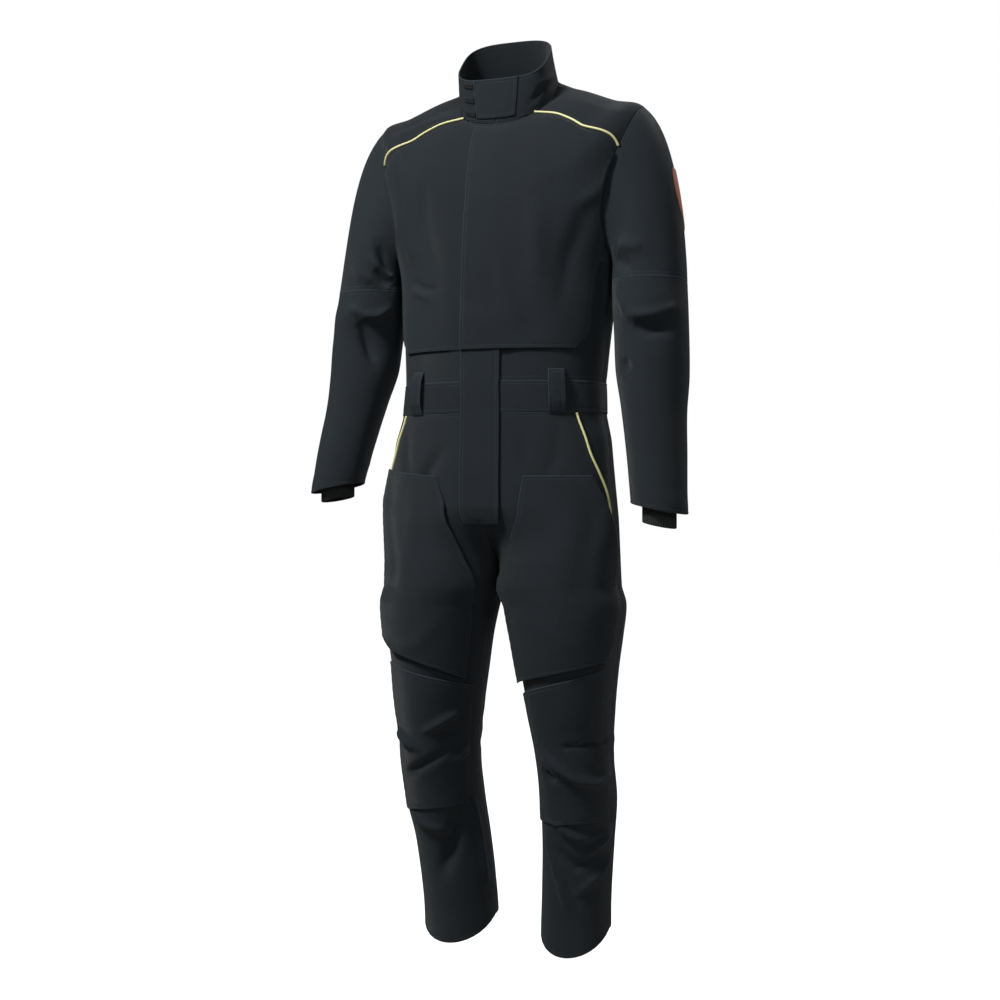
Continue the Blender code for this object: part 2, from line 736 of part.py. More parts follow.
TROUSER_DROPS = (0.0, 0.2, 0.4, 0.55, 0.7, 0.82, 0.92, 1.0)
LEG_DROPS = (0.05, 0.12, 0.20, 0.28, 0.36, 0.44, 0.52, 0.60, 0.68, 0.77, 0.86, 0.94, 1.0)


def build_trousers():
    drops = [RISE * share for share in TROUSER_DROPS]
    drops += [RISE + INSEAM * share for share in LEG_DROPS]
    columns = [i / 9 for i in range(10)]
    for side in ("left", "right"):
        for part in ("front", "back"):
            rows = [[trouser_place(side, part, u, drop) for u in columns] for drop in drops]
            cloth("trouser_%s_%s" % (part, side), rows, -CLOTH, 0.0,
                  trims=(SEAM_TRIM, 0, SEAM_TRIM, SEAM_TRIM))


# Waistband, belt loops and placket
def waist_point(angle, drop):
    """Cloth from the waist to the fork as one ring, 0 at the lower edge of the waistband."""
    turn = angle % 360
    part = "front" if turn < 90 or turn > 270 else "back"
    u = {0: turn / 90, 1: 2 - turn / 90, 2: turn / 90 - 2, 3: 4 - turn / 90}[int(turn // 90)]
    if drop >= 0:
        point = trouser_point("left", part, u, drop)
        point.x = abs(point.x) * (1 if turn < 180 else -1)
        return point
    share = min(-drop / WAISTBAND_HEIGHT, 1.0)
    low = trouser_point("left", part, u, 0.0)
    low.x = abs(low.x) * (1 if turn < 180 else -1)
    return low.lerp(torso_point(angle, RING_COUNT), share)


def waist_place(angle, drop):
    point = waist_point(angle, drop)
    side = waist_point(angle + 0.5, drop) - waist_point(angle - 0.5, drop)
    down = waist_point(angle, drop + 0.002) - waist_point(angle, drop - 0.002)
    return point, down.cross(side).normalized()


BELT_LOOP_ROWS = (
    # share of the height, how far it bows out
    (0.00, 0.00),
    (0.12, 0.45),
    (0.24, 0.85),
    (0.50, 1.00),
    (0.76, 0.90),
    (0.90, 0.35),
    (1.00, 0.00),
)


def build_waistband():
    angles = [360 * i / 36 for i in range(36)]
    rows = [[waist_place(a, -WAISTBAND_HEIGHT * share) for a in angles]
            for share in (1.0, 0.5, 0.0)]
    cloth("waistband", rows, BAND_PROUD - CLOTH, BAND_PROUD,
          trims=(SEAM_TRIM, SEAM_TRIM, 0, 0), loop=True)
    span = 0.5 * math.degrees(BELT_LOOP_WIDTH / WAIST_HALF_WIDTH)
    above = BELT_LOOP_HEIGHT - WAISTBAND_HEIGHT
    places = {"front_left": 42, "back_left": 128, "back": 180, "back_right": 232,
              "front_right": 319}
    for name, angle in places.items():
        rows = []
        for share, _ in BELT_LOOP_ROWS:
            drop = mix(-WAISTBAND_HEIGHT - above, 0.002, share)
            row = []
            for across in (-1, 0, 1):
                if drop < -WAISTBAND_HEIGHT:
                    ring = ring_at_drop(angle, BAND_DROP + drop)
                    row.append(torso_place(angle + span * across, ring))
                else:
                    row.append(waist_place(angle + span * across, drop))
            rows.append(row)

        def low(j, i):
            share, bow = BELT_LOOP_ROWS[j]
            proud = 0.0 if share in (0.0, 1.0) else BAND_PROUD
            return proud + SEWN_GAP + BELT_LOOP_BOW * bow

        def high(j, i):
            return low(j, i) + CLOTH

        cloth("belt_loop_" + name, rows, low, high)


def build_placket():
    half = math.degrees(math.asin((PLACKET_HALF_WIDTH / WAIST_HALF_WIDTH) ** (1 / ROUNDNESS)))
    rows = []
    for k in range(12):
        drop = CHEST_PANEL_LENGTH - PLACKET_TUCK + PLACKET_LENGTH * k / 11
        row = []
        for i in range(5):
            angle = mix(-half, half, i / 4)
            if drop < BODICE_LENGTH:
                row.append(torso_place(angle, ring_at_drop(angle, drop)))
            else:
                below = drop - BAND_DROP
                wide = WAIST_HALF_WIDTH / hip_ring(max(below, 0.0))[0]
                row.append(waist_place(angle * wide, below))
        rows.append(row)
    low = LAY_GAP + OVERLAP_STEP
    cloth("front_placket", rows, low, low + FLAP_CLOTH)


# Pocket mouths: an open slanted edge on each hip, marked by piping
POCKET_MOUTH = (
    # side share, drop below the waistband as a share of the rise
    (0.66, 0.03),
    (0.70, 0.14),
    (0.74, 0.25),
    (0.82, 0.34),
    (0.90, 0.45),
    (0.925, 0.58),
)


def build_pocket_piping():
    for side in ("left", "right"):
        path = []
        for k in range(13):
            u, share = spline(POCKET_MOUTH, k / 12 * (len(POCKET_MOUTH) - 1))
            path.append(trouser_place(side, "front", u, share * RISE))
        piping("pocket_piping_" + side, path, PIPING_RADIUS)


# Thigh panels and knee patches: second layers on the front of the legs
THIGH_PANEL_ROWS = (
    # share of the length, inner side share, outer side share, rise of the outer edge,
    # how far its outer edge stands away
    (0.00, 0.270, 0.780, 0.02, 0.55),
    (0.14, 0.245, 0.860, 0.02, 1.00),
    (0.34, 0.215, 0.925, 0.02, 0.60),
    (0.56, 0.200, 0.935, 0.03, 0.15),
    (0.76, 0.200, 0.925, 0.05, 0.20),
    (0.88, 0.205, 0.905, 0.08, 0.30),
    (1.00, 0.210, 0.840, 0.11, 0.35),
)
KNEE_PATCH_ROWS = (
    # share of the length, inner side share, outer side share, rise of the outer edge,
    # how far its outer edge stands away
    (0.00, 0.130, 0.800, 0.06, 0.0),
    (0.20, 0.125, 0.840, 0.03, 0.0),
    (0.40, 0.135, 0.850, 0.00, 0.0),
    (0.60, 0.145, 0.850, -0.02, 0.0),
    (0.80, 0.150, 0.860, -0.04, 0.0),
    (1.00, 0.155, 0.870, -0.06, 0.0),
)


def leg_panel_rows(side, table, top, length, columns):
    rows = []
    for share, inner, outer, rise, _ in table:
        row = []
        for i in range(columns):
            across = i / (columns - 1)
            drop = top + length * (share - rise * across) - BAND_DROP
            row.append(trouser_place(side, "front", mix(inner, outer, across), drop))
        rows.append(row)
    return rows


def build_leg_panels():
    for side in ("left", "right"):
        rows = leg_panel_rows(side, THIGH_PANEL_ROWS, THIGH_PANEL_TOP, THIGH_PANEL_LENGTH, 8)

        def stand(j, i):
            free = smooth(0.0, 0.3, THIGH_PANEL_ROWS[j][0])
            outer = smooth(0.70, 1.0, i / 7) * THIGH_PANEL_ROWS[j][4]
            inner = smooth(0.40, 0.0, i / 7) * free
            return mix(SEWN_GAP, 1.9 * FLAP_LIFT, free) + FLAP_STAND * (
                outer + 0.25 * inner)

        def stand_top(j, i):
            return stand(j, i) + FLAP_CLOTH

        cloth("thigh_panel_" + side, rows, stand, stand_top)
        rows = leg_panel_rows(side, KNEE_PATCH_ROWS, KNEE_PATCH_TOP, KNEE_PATCH_LENGTH, 8)
        cloth("knee_patch_" + side, rows, PATCH_GAP, PATCH_GAP + FLAP_CLOTH)


# Sleeves: from the armhole over a round cap to the elbow seam, then down to the hem
SLEEVE_ROWS = (
    # share below the elbow seam, middle across, middle forward, half width, half depth
    (0.00, 0.870, -0.10, 1.000, 1.00),
    (0.24, 0.895, 0.10, 0.995, 0.96),
    (0.42, 0.908, 0.22, 0.970, 0.92),
    (0.57, 0.930, 0.42, 0.870, 0.85),
    (0.74, 0.960, 0.66, 0.810, 0.80),
    (0.90, 0.985, 0.88, 0.760, 0.75),
    (1.00, 1.000, 1.00, 0.745, 0.73),
)
# Main folds of the sleeves, the ridge over each elbow and the dent below it
SLEEVE_FOLDS = {
    "left": (
        # share below the elbow seam, turn, reach down, reach round, height
        (0.11, 75.0, 0.07, 55.0, 0.0050),
        (0.26, 85.0, 0.08, 45.0, -0.0045),
    ),
    "right": (
        # share below the elbow seam, turn, reach down, reach round, height
        (0.12, 80.0, 0.07, 60.0, 0.0050),
        (0.27, 125.0, 0.10, 40.0, -0.0045),
    ),
}
CAP_ROWS = 7
CUFF_EASE = 0.0008
SLEEVE_TURNS = (0, 30, 60, 79, 98, 117, 138, 159, 180, 201, 222, 243, 262, 281, 300, 330)


def sleeve_ring_point(side, turn, share):
    cx, cy, a, b = table_at(SLEEVE_ROWS, share)
    long = SLEEVE_LENGTH_LEFT if side == "left" else SLEEVE_LENGTH_RIGHT
    low = SHOULDER_DROP + ELBOW_DROP
    z = -mix(low, SHOULDER_DROP + long, share)
    c = math.cos(math.radians(turn))
    s = math.sin(math.radians(turn))
    girth = 1.0 + fold_height(SLEEVE_FOLDS[side], share, turn) / SLEEVE_HALF_WIDTH
    across = SLEEVE_HALF_WIDTH * a * c * girth
    tilt = SLEEVE_HEM_TILT * smooth(0.0, 1.0, share)
    return Vector((SLEEVE_SPREAD * cx + across,
                   -SLEEVE_REACH * cy - SLEEVE_HALF_DEPTH * b * s * girth, z - tilt * across))


def armhole_point(side, turn):
    """Armhole of the left side, with the tilt of the shoulders for either side."""
    signed = turn if turn <= 180 else turn - 360
    angle, ring = armhole_spot(signed)
    if side == "left":
        return torso_place(angle, ring)
    point, normal = torso_place(360 - angle, ring)
    return Vector((-point.x, point.y, point.z)), Vector((-normal.x, normal.y, normal.z))


def sleeve_point(side, turn, place):
    """place runs 0 to 1 over the cap and 1 to 2 down to the hem."""
    if place >= 1:
        return sleeve_ring_point(side, turn, place - 1)
    start, normal = armhole_point(side, turn)
    end = sleeve_ring_point(side, turn, 0.0)
    below = sleeve_ring_point(side, turn, 0.1) - end
    far = (end - start).length
    c = math.cos(math.radians(turn))
    forward = math.sin(math.radians(turn))
    slope = mix(-0.25, -0.85, smooth(-0.2, 0.6, c))
    out = Vector((1.0, 0.0, slope)).normalized() * far * (0.72 + 0.25 * forward)
    down = below.normalized() * far * 0.9
    s = place
    return (start * (2 * s**3 - 3 * s**2 + 1) + out * (s**3 - 2 * s**2 + s)
            + end * (-2 * s**3 + 3 * s**2) + down * (s**3 - s**2))


def sleeve_place(side, turn, place):
    def surface(a, b):
        return sleeve_point(side, a, b)

    near = min(max(place, 0.03), 1.97)
    point = surface(turn, place)
    normal = -normal_of(surface, turn, near, 0.5, 0.02)
    if place == 0.0:
        seam = armhole_point(side, turn)[1]
        mitre = (seam + normal) / (1.0 + max(seam.dot(normal), -0.3))
        normal = seam.lerp(mitre, smooth(0.3, -0.2, math.cos(math.radians(turn))))
    if side == "right":
        point = Vector((-point.x, point.y, point.z))
        normal = Vector((-normal.x, normal.y, normal.z))
    return point, normal


def build_sleeves():
    for side in ("left", "right"):
        upper = [k / CAP_ROWS for k in range(CAP_ROWS + 1)]
        rows = [[sleeve_place(side, t, v) for t in SLEEVE_TURNS] for v in upper]
        cloth("sleeve_upper_" + side, rows, -CLOTH, 0.0,
              trims=(2 * SEAM_TRIM, SEAM_TRIM, 0, 0), loop=True)
        lower = [1 + k / 8 for k in range(9)]
        rows = [[sleeve_place(side, t, v) for t in SLEEVE_TURNS] for v in lower]
        cloth("sleeve_lower_" + side, rows, -CLOTH, 0.0, trims=(SEAM_TRIM, 0, 0, 0),
              loop=True)
        build_cuff(side)
    build_arm_patch()


CUFF_ROWS = (
    # height above the sleeve's hem as a share of the cuff's length, how slim it is
    (1.00, 0.00),
    (0.73, 0.35),
    (0.47, 1.00),
    (0.00, 1.00),
)


def build_cuff(side):
    """Knitted cuff inside the sleeve; its top opens out to meet the sleeve's wall."""
    shows = CUFF_SHOWS_LEFT if side == "left" else CUFF_SHOWS_RIGHT
    long = SLEEVE_LENGTH_LEFT if side == "left" else SLEEVE_LENGTH_RIGHT
    mirror = 1 if side == "left" else -1
    below_seam = long - ELBOW_DROP
    rows = []
    for up, slim in [(CUFF_LENGTH * share, slim) for share, slim in CUFF_ROWS] + [(-shows, 1.0)]:
        share = 1.0 - max(up, 0.0) / below_seam
        cx, cy, a, b = table_at(SLEEVE_ROWS, share)
        wide = mix(SLEEVE_HALF_WIDTH * a - CLOTH - CUFF_EASE, CUFF_HALF_WIDTH, slim)
        deep = mix(SLEEVE_HALF_DEPTH * b - CLOTH - CUFF_EASE, CUFF_HALF_DEPTH, slim)
        row = []
        for turn in SLEEVE_TURNS:
            c = math.cos(math.radians(turn))
            s = math.sin(math.radians(turn))
            tilt = SLEEVE_HEM_TILT * smooth(0.0, 1.0, share)
            z = -SHOULDER_DROP - long + up - tilt * wide * c
            point = Vector((mirror * (SLEEVE_SPREAD * cx + wide * c),
                            -SLEEVE_REACH * cy - deep * s, z))
            row.append((point, Vector((mirror * c / wide, -s / deep, 0)).normalized()))
        rows.append(row)
    cloth("rib_cuff_" + side, rows, -KNIT, 0.0, KNIT_COLOUR, loop=True)


ARM_PATCH_ROWS = (
    # share of the height, half width as a share of half the width
    (0.00, 0.86),
    (0.10, 0.97),
    (0.30, 1.00),
    (0.55, 0.90),
    (0.78, 0.58),
    (0.93, 0.22),
    (1.00, 0.04),
)


def sleeve_place_at_drop(side, turn, drop):
    low = 0.0
    high = 2.0
    for _ in range(24):
        middle = 0.5 * (low + high)
        if -sleeve_point(side, turn, middle).z < drop:
            low = middle
        else:
            high = middle
    return sleeve_place(side, turn, 0.5 * (low + high))


ARM_PATCH_TURN = 338.0
ARM_PATCH_COLUMNS = (-1.0, -0.6, -0.2, 0.2, 0.6, 1.0)


def build_arm_patch():
    half = math.degrees(0.5 * ARM_PATCH_WIDTH / SLEEVE_HALF_WIDTH)
    rows = []
    for share, wide in ARM_PATCH_ROWS:
        drop = ARM_PATCH_TOP + ARM_PATCH_HEIGHT * share
        turns = [(ARM_PATCH_TURN + half * wide * across) % 360 for across in ARM_PATCH_COLUMNS]
        rows.append([sleeve_place_at_drop("left", turn, drop) for turn in turns])
    cloth("arm_patch", rows, LAY_GAP, LAY_GAP + LEATHER, LEATHER_COLOUR)


def build():
    for old in list(bpy.context.scene.objects):
        bpy.data.objects.remove(old, do_unlink=True)
    build_bodice()
    build_yoke()
    build_collar()
    build_chest_panels()
    build_trousers()
    build_waistband()
    build_placket()
    build_pocket_piping()
    build_leg_panels()
    build_sleeves()


build()
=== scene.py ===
"""Looks of the welding coverall: fine cloth, seams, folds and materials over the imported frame."""
import math
import bpy
import numpy as np
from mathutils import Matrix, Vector, noise


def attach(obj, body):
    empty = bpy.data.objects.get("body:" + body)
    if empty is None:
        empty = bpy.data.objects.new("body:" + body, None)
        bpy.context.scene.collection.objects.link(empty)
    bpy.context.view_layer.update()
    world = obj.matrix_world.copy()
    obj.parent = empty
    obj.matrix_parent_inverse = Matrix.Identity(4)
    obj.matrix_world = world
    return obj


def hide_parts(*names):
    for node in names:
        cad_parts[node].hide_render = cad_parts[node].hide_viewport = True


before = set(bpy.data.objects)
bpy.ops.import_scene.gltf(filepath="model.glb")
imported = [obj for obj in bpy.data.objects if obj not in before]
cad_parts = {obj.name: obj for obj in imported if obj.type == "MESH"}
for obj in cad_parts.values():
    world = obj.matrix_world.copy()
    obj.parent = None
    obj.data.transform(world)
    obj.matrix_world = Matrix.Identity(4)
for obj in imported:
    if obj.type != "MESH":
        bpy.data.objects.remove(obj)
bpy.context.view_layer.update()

# Bodice
# Two fronts and a back of heavy flame-retardant cotton twill, from the neck and the yoke
# to the waist. All edges of the cloth are turned in and stitched.
NECK_HALF_WIDTH = 0.088
NECK_FRONT = 0.051
NECK_BACK = 0.058
NECK_DROP_FRONT = 0.066
NECK_RISE_BACK = 0.028
SHOULDER_HALF_WIDTH = 0.238
SHOULDER_DROP = 0.045
CHEST_FRONT = 0.111
CHEST_BACK = 0.116
WAIST_HALF_WIDTH = 0.176
WAIST_FRONT = 0.118
WAIST_BACK = 0.100
BODICE_LENGTH = 0.504
ARMHOLE_FRONT_ANGLE = 34.0
ARMHOLE_BACK_ANGLE = 32.0
SIDE_LINE_BACK = 0.034
CLOTH = 0.0020
CLOTH_COLOUR = (0.0105, 0.0140, 0.0172, 1.0)
YOKE_RINGS = (
    # half width, front and back as shares of the way from the neck to the shoulders, side
    # line, drops at front, side and back as shares of their run, how fast the ring falls
    (0.00, 0.00, 0.00, 0.44, 0.000, 0.085, 0.000, 0.80),
    (0.31, 0.32, 0.44, 0.59, 0.086, -0.16, 0.048, 1.20),
    (0.66, 0.57, 0.74, 0.76, 0.178, -0.60, 0.125, 1.60),
    (1.00, 0.73, 0.90, 1.00, 0.274, -1.00, 0.222, 2.00),
)
CHEST_RINGS = (
    # half width as a share of the way from waist to shoulders, front and back as shares of
    # the chest's depths, side line, drops at front, side and back
    (0.96, 0.90, 0.97, 0.94, 0.337, 0.158, 0.352),
    (0.66, 0.96, 1.00, 0.82, 0.438, 0.365, 0.500),
    (0.27, 1.00, 0.98, 0.65, 0.540, 0.580, 0.645),
)
WAIST_RINGS = (
    # half width and depth as shares of the way from the waist, side line, drops
    (0.14, 0.52, 0.29, 0.664, 0.757, 0.793),
    (0.06, 0.22, 0.03, 0.837, 0.878, 0.897),
    (0.00, 0.00, -0.15, 1.000, 1.000, 1.000),
)
ROUND_FALL = 2.0
ROUNDNESS = 2.0 / 2.25


def mix(a, b, share):
    return a + (b - a) * share


def smooth(edge0, edge1, value):
    """0 up to the first edge and 1 past the second, of one value or a whole array."""
    share = np.clip((value - edge0) / (edge1 - edge0), 0.0, 1.0)
    return share * share * (3.0 - 2.0 * share)


def spline(rows, place):
    """A smooth curve through the rows, each column by itself; place counts rows from 0."""
    last = len(rows) - 1
    place = min(max(place, 0.0), float(last))
    index = min(int(place), last - 1)
    s = place - index
    before = rows[max(index - 1, 0)]
    here = rows[index]
    there = rows[index + 1]
    after = rows[min(index + 2, last)]
    values = []
    for p0, p1, p2, p3 in zip(before, here, there, after):
        slope1 = 0.5 * (p2 - p0)
        slope2 = 0.5 * (p3 - p1)
        values.append((2 * s**3 - 3 * s**2 + 1) * p1 + (s**3 - 2 * s**2 + s) * slope1
                      + (-2 * s**3 + 3 * s**2) * p2 + (s**3 - s**2) * slope2)
    return values


def table_at(rows, key):
    """The rows of a table at a key in its first column, smoothly, without that column."""
    keys = [row[0] for row in rows]
    rising = keys[-1] > keys[0]
    for index in range(len(keys) - 1):
        inside = key <= keys[index + 1] if rising else key >= keys[index + 1]
        if inside or index == len(keys) - 2:
            break
    share = (key - keys[index]) / (keys[index + 1] - keys[index])
    return spline([row[1:] for row in rows], index + min(max(share, 0.0), 1.0))


def power(value, exponent):
    return math.copysign(abs(value) ** exponent, value)


def torso_rings():
    rings = []
    front_run = BODICE_LENGTH - NECK_DROP_FRONT
    side_run = BODICE_LENGTH - SHOULDER_DROP
    back_run = BODICE_LENGTH + NECK_RISE_BACK
    for wide, front, back, line, zf, zs, zb, fall in YOKE_RINGS:
        rings.append((
            mix(NECK_HALF_WIDTH, SHOULDER_HALF_WIDTH, wide),
            -mix(NECK_FRONT, CHEST_FRONT, front),
            SIDE_LINE_BACK * line,
            mix(NECK_BACK, CHEST_BACK, back),
            -NECK_DROP_FRONT - zf * front_run,
            SHOULDER_DROP * zs,
            NECK_RISE_BACK - zb * back_run,
            fall,
        ))
    lower = [(wide, CHEST_FRONT * front, CHEST_BACK * back, line, zf, zs, zb)
             for wide, front, back, line, zf, zs, zb in CHEST_RINGS]
    lower += [(wide, mix(WAIST_FRONT, CHEST_FRONT, deep), mix(WAIST_BACK, CHEST_BACK, deep),
               line, zf, zs, zb) for wide, deep, line, zf, zs, zb in WAIST_RINGS]
    for wide, front, back, line, zf, zs, zb in lower:
        rings.append((
            mix(WAIST_HALF_WIDTH, SHOULDER_HALF_WIDTH, wide),
            -front,
            SIDE_LINE_BACK * line,
            back,
            -NECK_DROP_FRONT - zf * front_run,
            -SHOULDER_DROP - zs * side_run,
            NECK_RISE_BACK - zb * back_run,
            ROUND_FALL,
        ))
    return rings


TORSO_RINGS = torso_rings()
RING_COUNT = len(TORSO_RINGS) - 1
TIP_RING = len(YOKE_RINGS) - 1
ARMPIT_RING = TIP_RING + 3
ARMHOLE_TOP = TIP_RING - 0.05
ARMHOLE_STATIONS = (0, 30, 60, 79, 98, 117, 138, 159, 180)
YOKE_STATION = 2
YOKE_SEAM = (
    # angle, ring
    (43.5, 0.00),
    (52.3, 0.68),
    (53.0, 1.40),
    (51.4, 2.15),
    (52.2, 2.95),
)
NECK_STATIONS_FRONT = (0, 13, 26)
BACK_YOKE_RING = 2.9
BACK_YOKE_SHARES = (0.0, 0.36, 0.70, 1.0)
CENTRE_SHARES = (0.0, 0.26, 0.50, 0.69, 0.86, 0.99, 1.06)


def ring_point(half_width, front, line, back, front_z, side_z, back_z, fall, angle):
    """A point of a ring that is wider than deep; angle 0 is the front, 90 the left side."""
    s = math.sin(math.radians(angle))
    c = math.cos(math.radians(angle))
    x = half_width * power(s, ROUNDNESS)
    deep = abs(c) ** ROUNDNESS
    reach = abs(c) ** fall
    if c >= 0:
        return Vector((x, mix(line, front, deep), mix(side_z, front_z, reach)))
    return Vector((x, mix(line, back, deep), mix(side_z, back_z, reach)))


def torso_point(angle, ring):
    return ring_point(*spline(TORSO_RINGS, ring), angle)


def armhole_spot(turn):
    """Angle and ring of the left armhole; turn runs from 0 at the tip, 90 in front."""
    middle = 0.5 * (ARMHOLE_TOP + ARMPIT_RING)
    half = 0.5 * (ARMPIT_RING - ARMHOLE_TOP)
    s = math.sin(math.radians(turn))
    reach = ARMHOLE_FRONT_ANGLE if s > 0 else ARMHOLE_BACK_ANGLE
    return 90.0 - reach * s, middle - half * math.cos(math.radians(turn))


def yoke_edge_left():
    """Outer edge of the yoke, from the front of the neck round to the middle of the back."""
    edge = [spot for spot in YOKE_SEAM]
    for turn in (60, 30, 0, -30, -60):
        edge.append(armhole_spot(turn))
    start = armhole_spot(-60)
    for share in BACK_YOKE_SHARES[1:]:
        ease = smooth(0.0, 1.0, share)
        edge.append((mix(start[0], 180.0, share), mix(start[1], BACK_YOKE_RING, ease)))
    return edge


def mirror_spots(spots):
    return [(360.0 - angle, ring) for angle, ring in spots]


def between(top, bottom, left, right):
    """Spots inside four edges of spots; left and right run from top to bottom."""
    rows = []
    count_u = len(top) - 1
    count_v = len(left) - 1
    for j in range(count_v + 1):
        v = j / count_v
        row = []
        for i in range(count_u + 1):
            u = i / count_u
            spot = []
            for k in (0, 1):
                value = mix(left[j][k], right[j][k], u)
                value += (1 - v) ** 3 * (top[i][k] - mix(top[0][k], top[-1][k], u))
                value += v ** 3 * (bottom[i][k] - mix(bottom[0][k], bottom[-1][k], u))
                spot.append(value)
            row.append(tuple(spot))
        rows.append(row)
    return rows


def side_seam_rings(count):
    return [mix(ARMPIT_RING, RING_COUNT, k / count) for k in range(1, count + 1)]


def front_edges():
    """The four edges of the left bodice front as spots on the torso."""
    top = [(angle, 0.0) for angle in NECK_STATIONS_FRONT]
    top += [spot for spot in YOKE_SEAM]
    top.append(armhole_spot(ARMHOLE_STATIONS[YOKE_STATION]))
    right = [armhole_spot(turn) for turn in ARMHOLE_STATIONS[YOKE_STATION:]]
    right += [(90.0, ring) for ring in side_seam_rings(5)]
    bottom = [(90.0 * i / (len(top) - 1), RING_COUNT) for i in range(len(top))]
    left = [(0.0, ARMPIT_RING * share) for share in CENTRE_SHARES]
    left += [(0.0, mix(left[-1][1], RING_COUNT, k / 5)) for k in range(1, 6)]
    return top, bottom, left, right


def ring_at_drop(angle, drop):
    """The ring whose point at this angle lies at this depth below the origin."""
    low = 0.0
    high = float(RING_COUNT)
    for _ in range(30):
        middle = 0.5 * (low + high)
        if -torso_point(angle, middle).z < drop:
            low = middle
        else:
            high = middle
    return 0.5 * (low + high)


class Wire:
    """A shader value that adds, multiplies and so on as numbers do."""

    def __init__(self, shade, socket):
        self.shade = shade
        self.socket = socket

    def run(self, operation, other=0.0, third=0.0):
        return self.shade.node("ShaderNodeMath", {"operation": operation},
                               {0: self, 1: other, 2: third})

    def __add__(self, other):
        return self.run("ADD", other)

    def __sub__(self, other):
        return self.run("SUBTRACT", other)

    def __mul__(self, other):
        return self.run("MULTIPLY", other)

    def __rsub__(self, other):
        return self.run("MULTIPLY_ADD", -1.0, other)

    __radd__ = __add__
    __rmul__ = __mul__


class Shade:
    """A material with one Principled shader, and the nodes that feed it."""

    def __init__(self, name, colour, roughness):
        self.material = bpy.data.materials.new(name)
        self.material.use_nodes = True
        self.tree = self.material.node_tree
        self.shader = self.tree.nodes["Principled BSDF"]
        self.put(self.shader.inputs["Base Color"], colour)
        self.put(self.shader.inputs["Roughness"], roughness)

    def put(self, socket, value):
        if isinstance(value, Wire):
            self.tree.links.new(value.socket, socket)
        else:
            socket.default_value = value

    def node(self, kind, settings, sockets, out=0):
        """A node of any kind: its settings first, then its sockets."""
        node = self.tree.nodes.new(kind)
        for key, value in settings.items():
            setattr(node, key, value)
        for key, value in sockets.items():
            self.put(node.inputs[key], value)
        return Wire(self, node.outputs[out])

    def attribute(self, name):
        return self.node("ShaderNodeAttribute", {"attribute_name": name}, {}, out=2)

    def band(self, value, middle, half):
        """1 where the value lies within half of the middle, falling softly to 0."""
        return 1.0 - (value - middle).run("ABSOLUTE").run("DIVIDE", half).run("MINIMUM", 1.0)

    def blend(self, share, first, second):
        return self.node("ShaderNodeMix", {"data_type": "RGBA"},
                         {0: share, 6: first, 7: second}, out=2)

    def bump(self, height, distance):
        """Bumps of that height, in metres for a height of 1, over any earlier ones."""
        sockets = {"Height": height, "Distance": distance}
        if self.shader.inputs["Normal"].is_linked:
            before = self.shader.inputs["Normal"].links[0].from_socket
            sockets["Normal"] = Wire(self, before)
        self.put(self.shader.inputs["Normal"], self.node("ShaderNodeBump", {}, sockets))


STITCH_INSET = 0.0060
STITCH_HALF_WIDTH = 0.0007
STITCH_STEP = 0.0036
STITCH_SHARE = 0.68
TWILL_STEP = 0.0011
TWILL_DEPTH = 0.00022
GROOVE_DEPTH = 0.0004
WEAR_AND_HIGHLIGHT_WIDTH = 0.0022
WEAR_THREAD_AND_HIGHLIGHT_GAIN = 3.2


def cloth_shade(name, colour, twill=TWILL_STEP):
    """Heavy twill: diagonal ribs, edges lightened partly as wear and partly as painted highlight,
    and stitches along every hem.
    """
    shade = Shade(name, colour, 0.86)
    shade.put(shade.shader.inputs["Sheen Weight"], 0.05)
    shade.put(shade.shader.inputs["Sheen Roughness"], 0.40)
    shade.put(shade.shader.inputs["Specular IOR Level"], 0.16)
    across = shade.attribute("across")
    down = shade.attribute("down")
    hem = shade.attribute("hem")
    along = shade.attribute("along")
    spot = shade.node("ShaderNodeTexCoord", {}, {}, out=3)
    patchy = shade.node("ShaderNodeTexNoise", {}, {"Vector": spot, "Scale": 9.0, "Detail": 4.0})
    grain = shade.node("ShaderNodeTexNoise", {}, {"Vector": spot, "Scale": 420.0, "Detail": 3.0})
    light = tuple(min(1.35 * c, 1.0) for c in colour[:3]) + (1.0,)
    dark = tuple(0.72 * c for c in colour[:3]) + (1.0,)
    tone = shade.blend(patchy * 0.5 + grain * 0.5, dark, light)
    thread = shade.band(hem, STITCH_INSET, STITCH_HALF_WIDTH)
    dash = (along * (1.0 / STITCH_STEP)).run("FRACT").run("LESS_THAN", STITCH_SHARE)
    # Lighter along the hems: partly worn cloth, partly a painted highlight on the rolled edges. The
    # pale stitch thread uses the same lighter tone.
    edge = shade.band(hem, 0.0, WEAR_AND_HIGHLIGHT_WIDTH)
    wear_thread_and_highlight = tuple(WEAR_THREAD_AND_HIGHLIGHT_GAIN * c for c in colour[:3]) + (1.0,)
    tone = shade.blend(edge * 0.6, tone, wear_thread_and_highlight)
    tone = shade.blend(thread * dash * 0.7, tone, wear_thread_and_highlight)
    shade.put(shade.shader.inputs["Base Color"], tone)
    rib = ((across + down) * (2.0 * math.pi / twill)).run("SINE")
    shade.bump(rib * 0.5 + grain * 0.6, TWILL_DEPTH)
    shade.bump(thread * dash, GROOVE_DEPTH)
    return shade.material


EDGE_LINES = (0.0006, 0.0016, 0.0034, 0.0048, 0.0060, 0.0072, 0.0090)


def lines(count, length, first=True, last=True):
    """Even shares from 0 to 1, with extra ones near the hems of a piece of that length."""
    values = [k / count for k in range(count + 1)]
    near = [step / length for step in EDGE_LINES]
    if first:
        values += near
    if last:
        values += [1.0 - step for step in near]
    return sorted(set(values))


CREASE_GAIN = 2.5
CREASE_WIDTH = 0.85


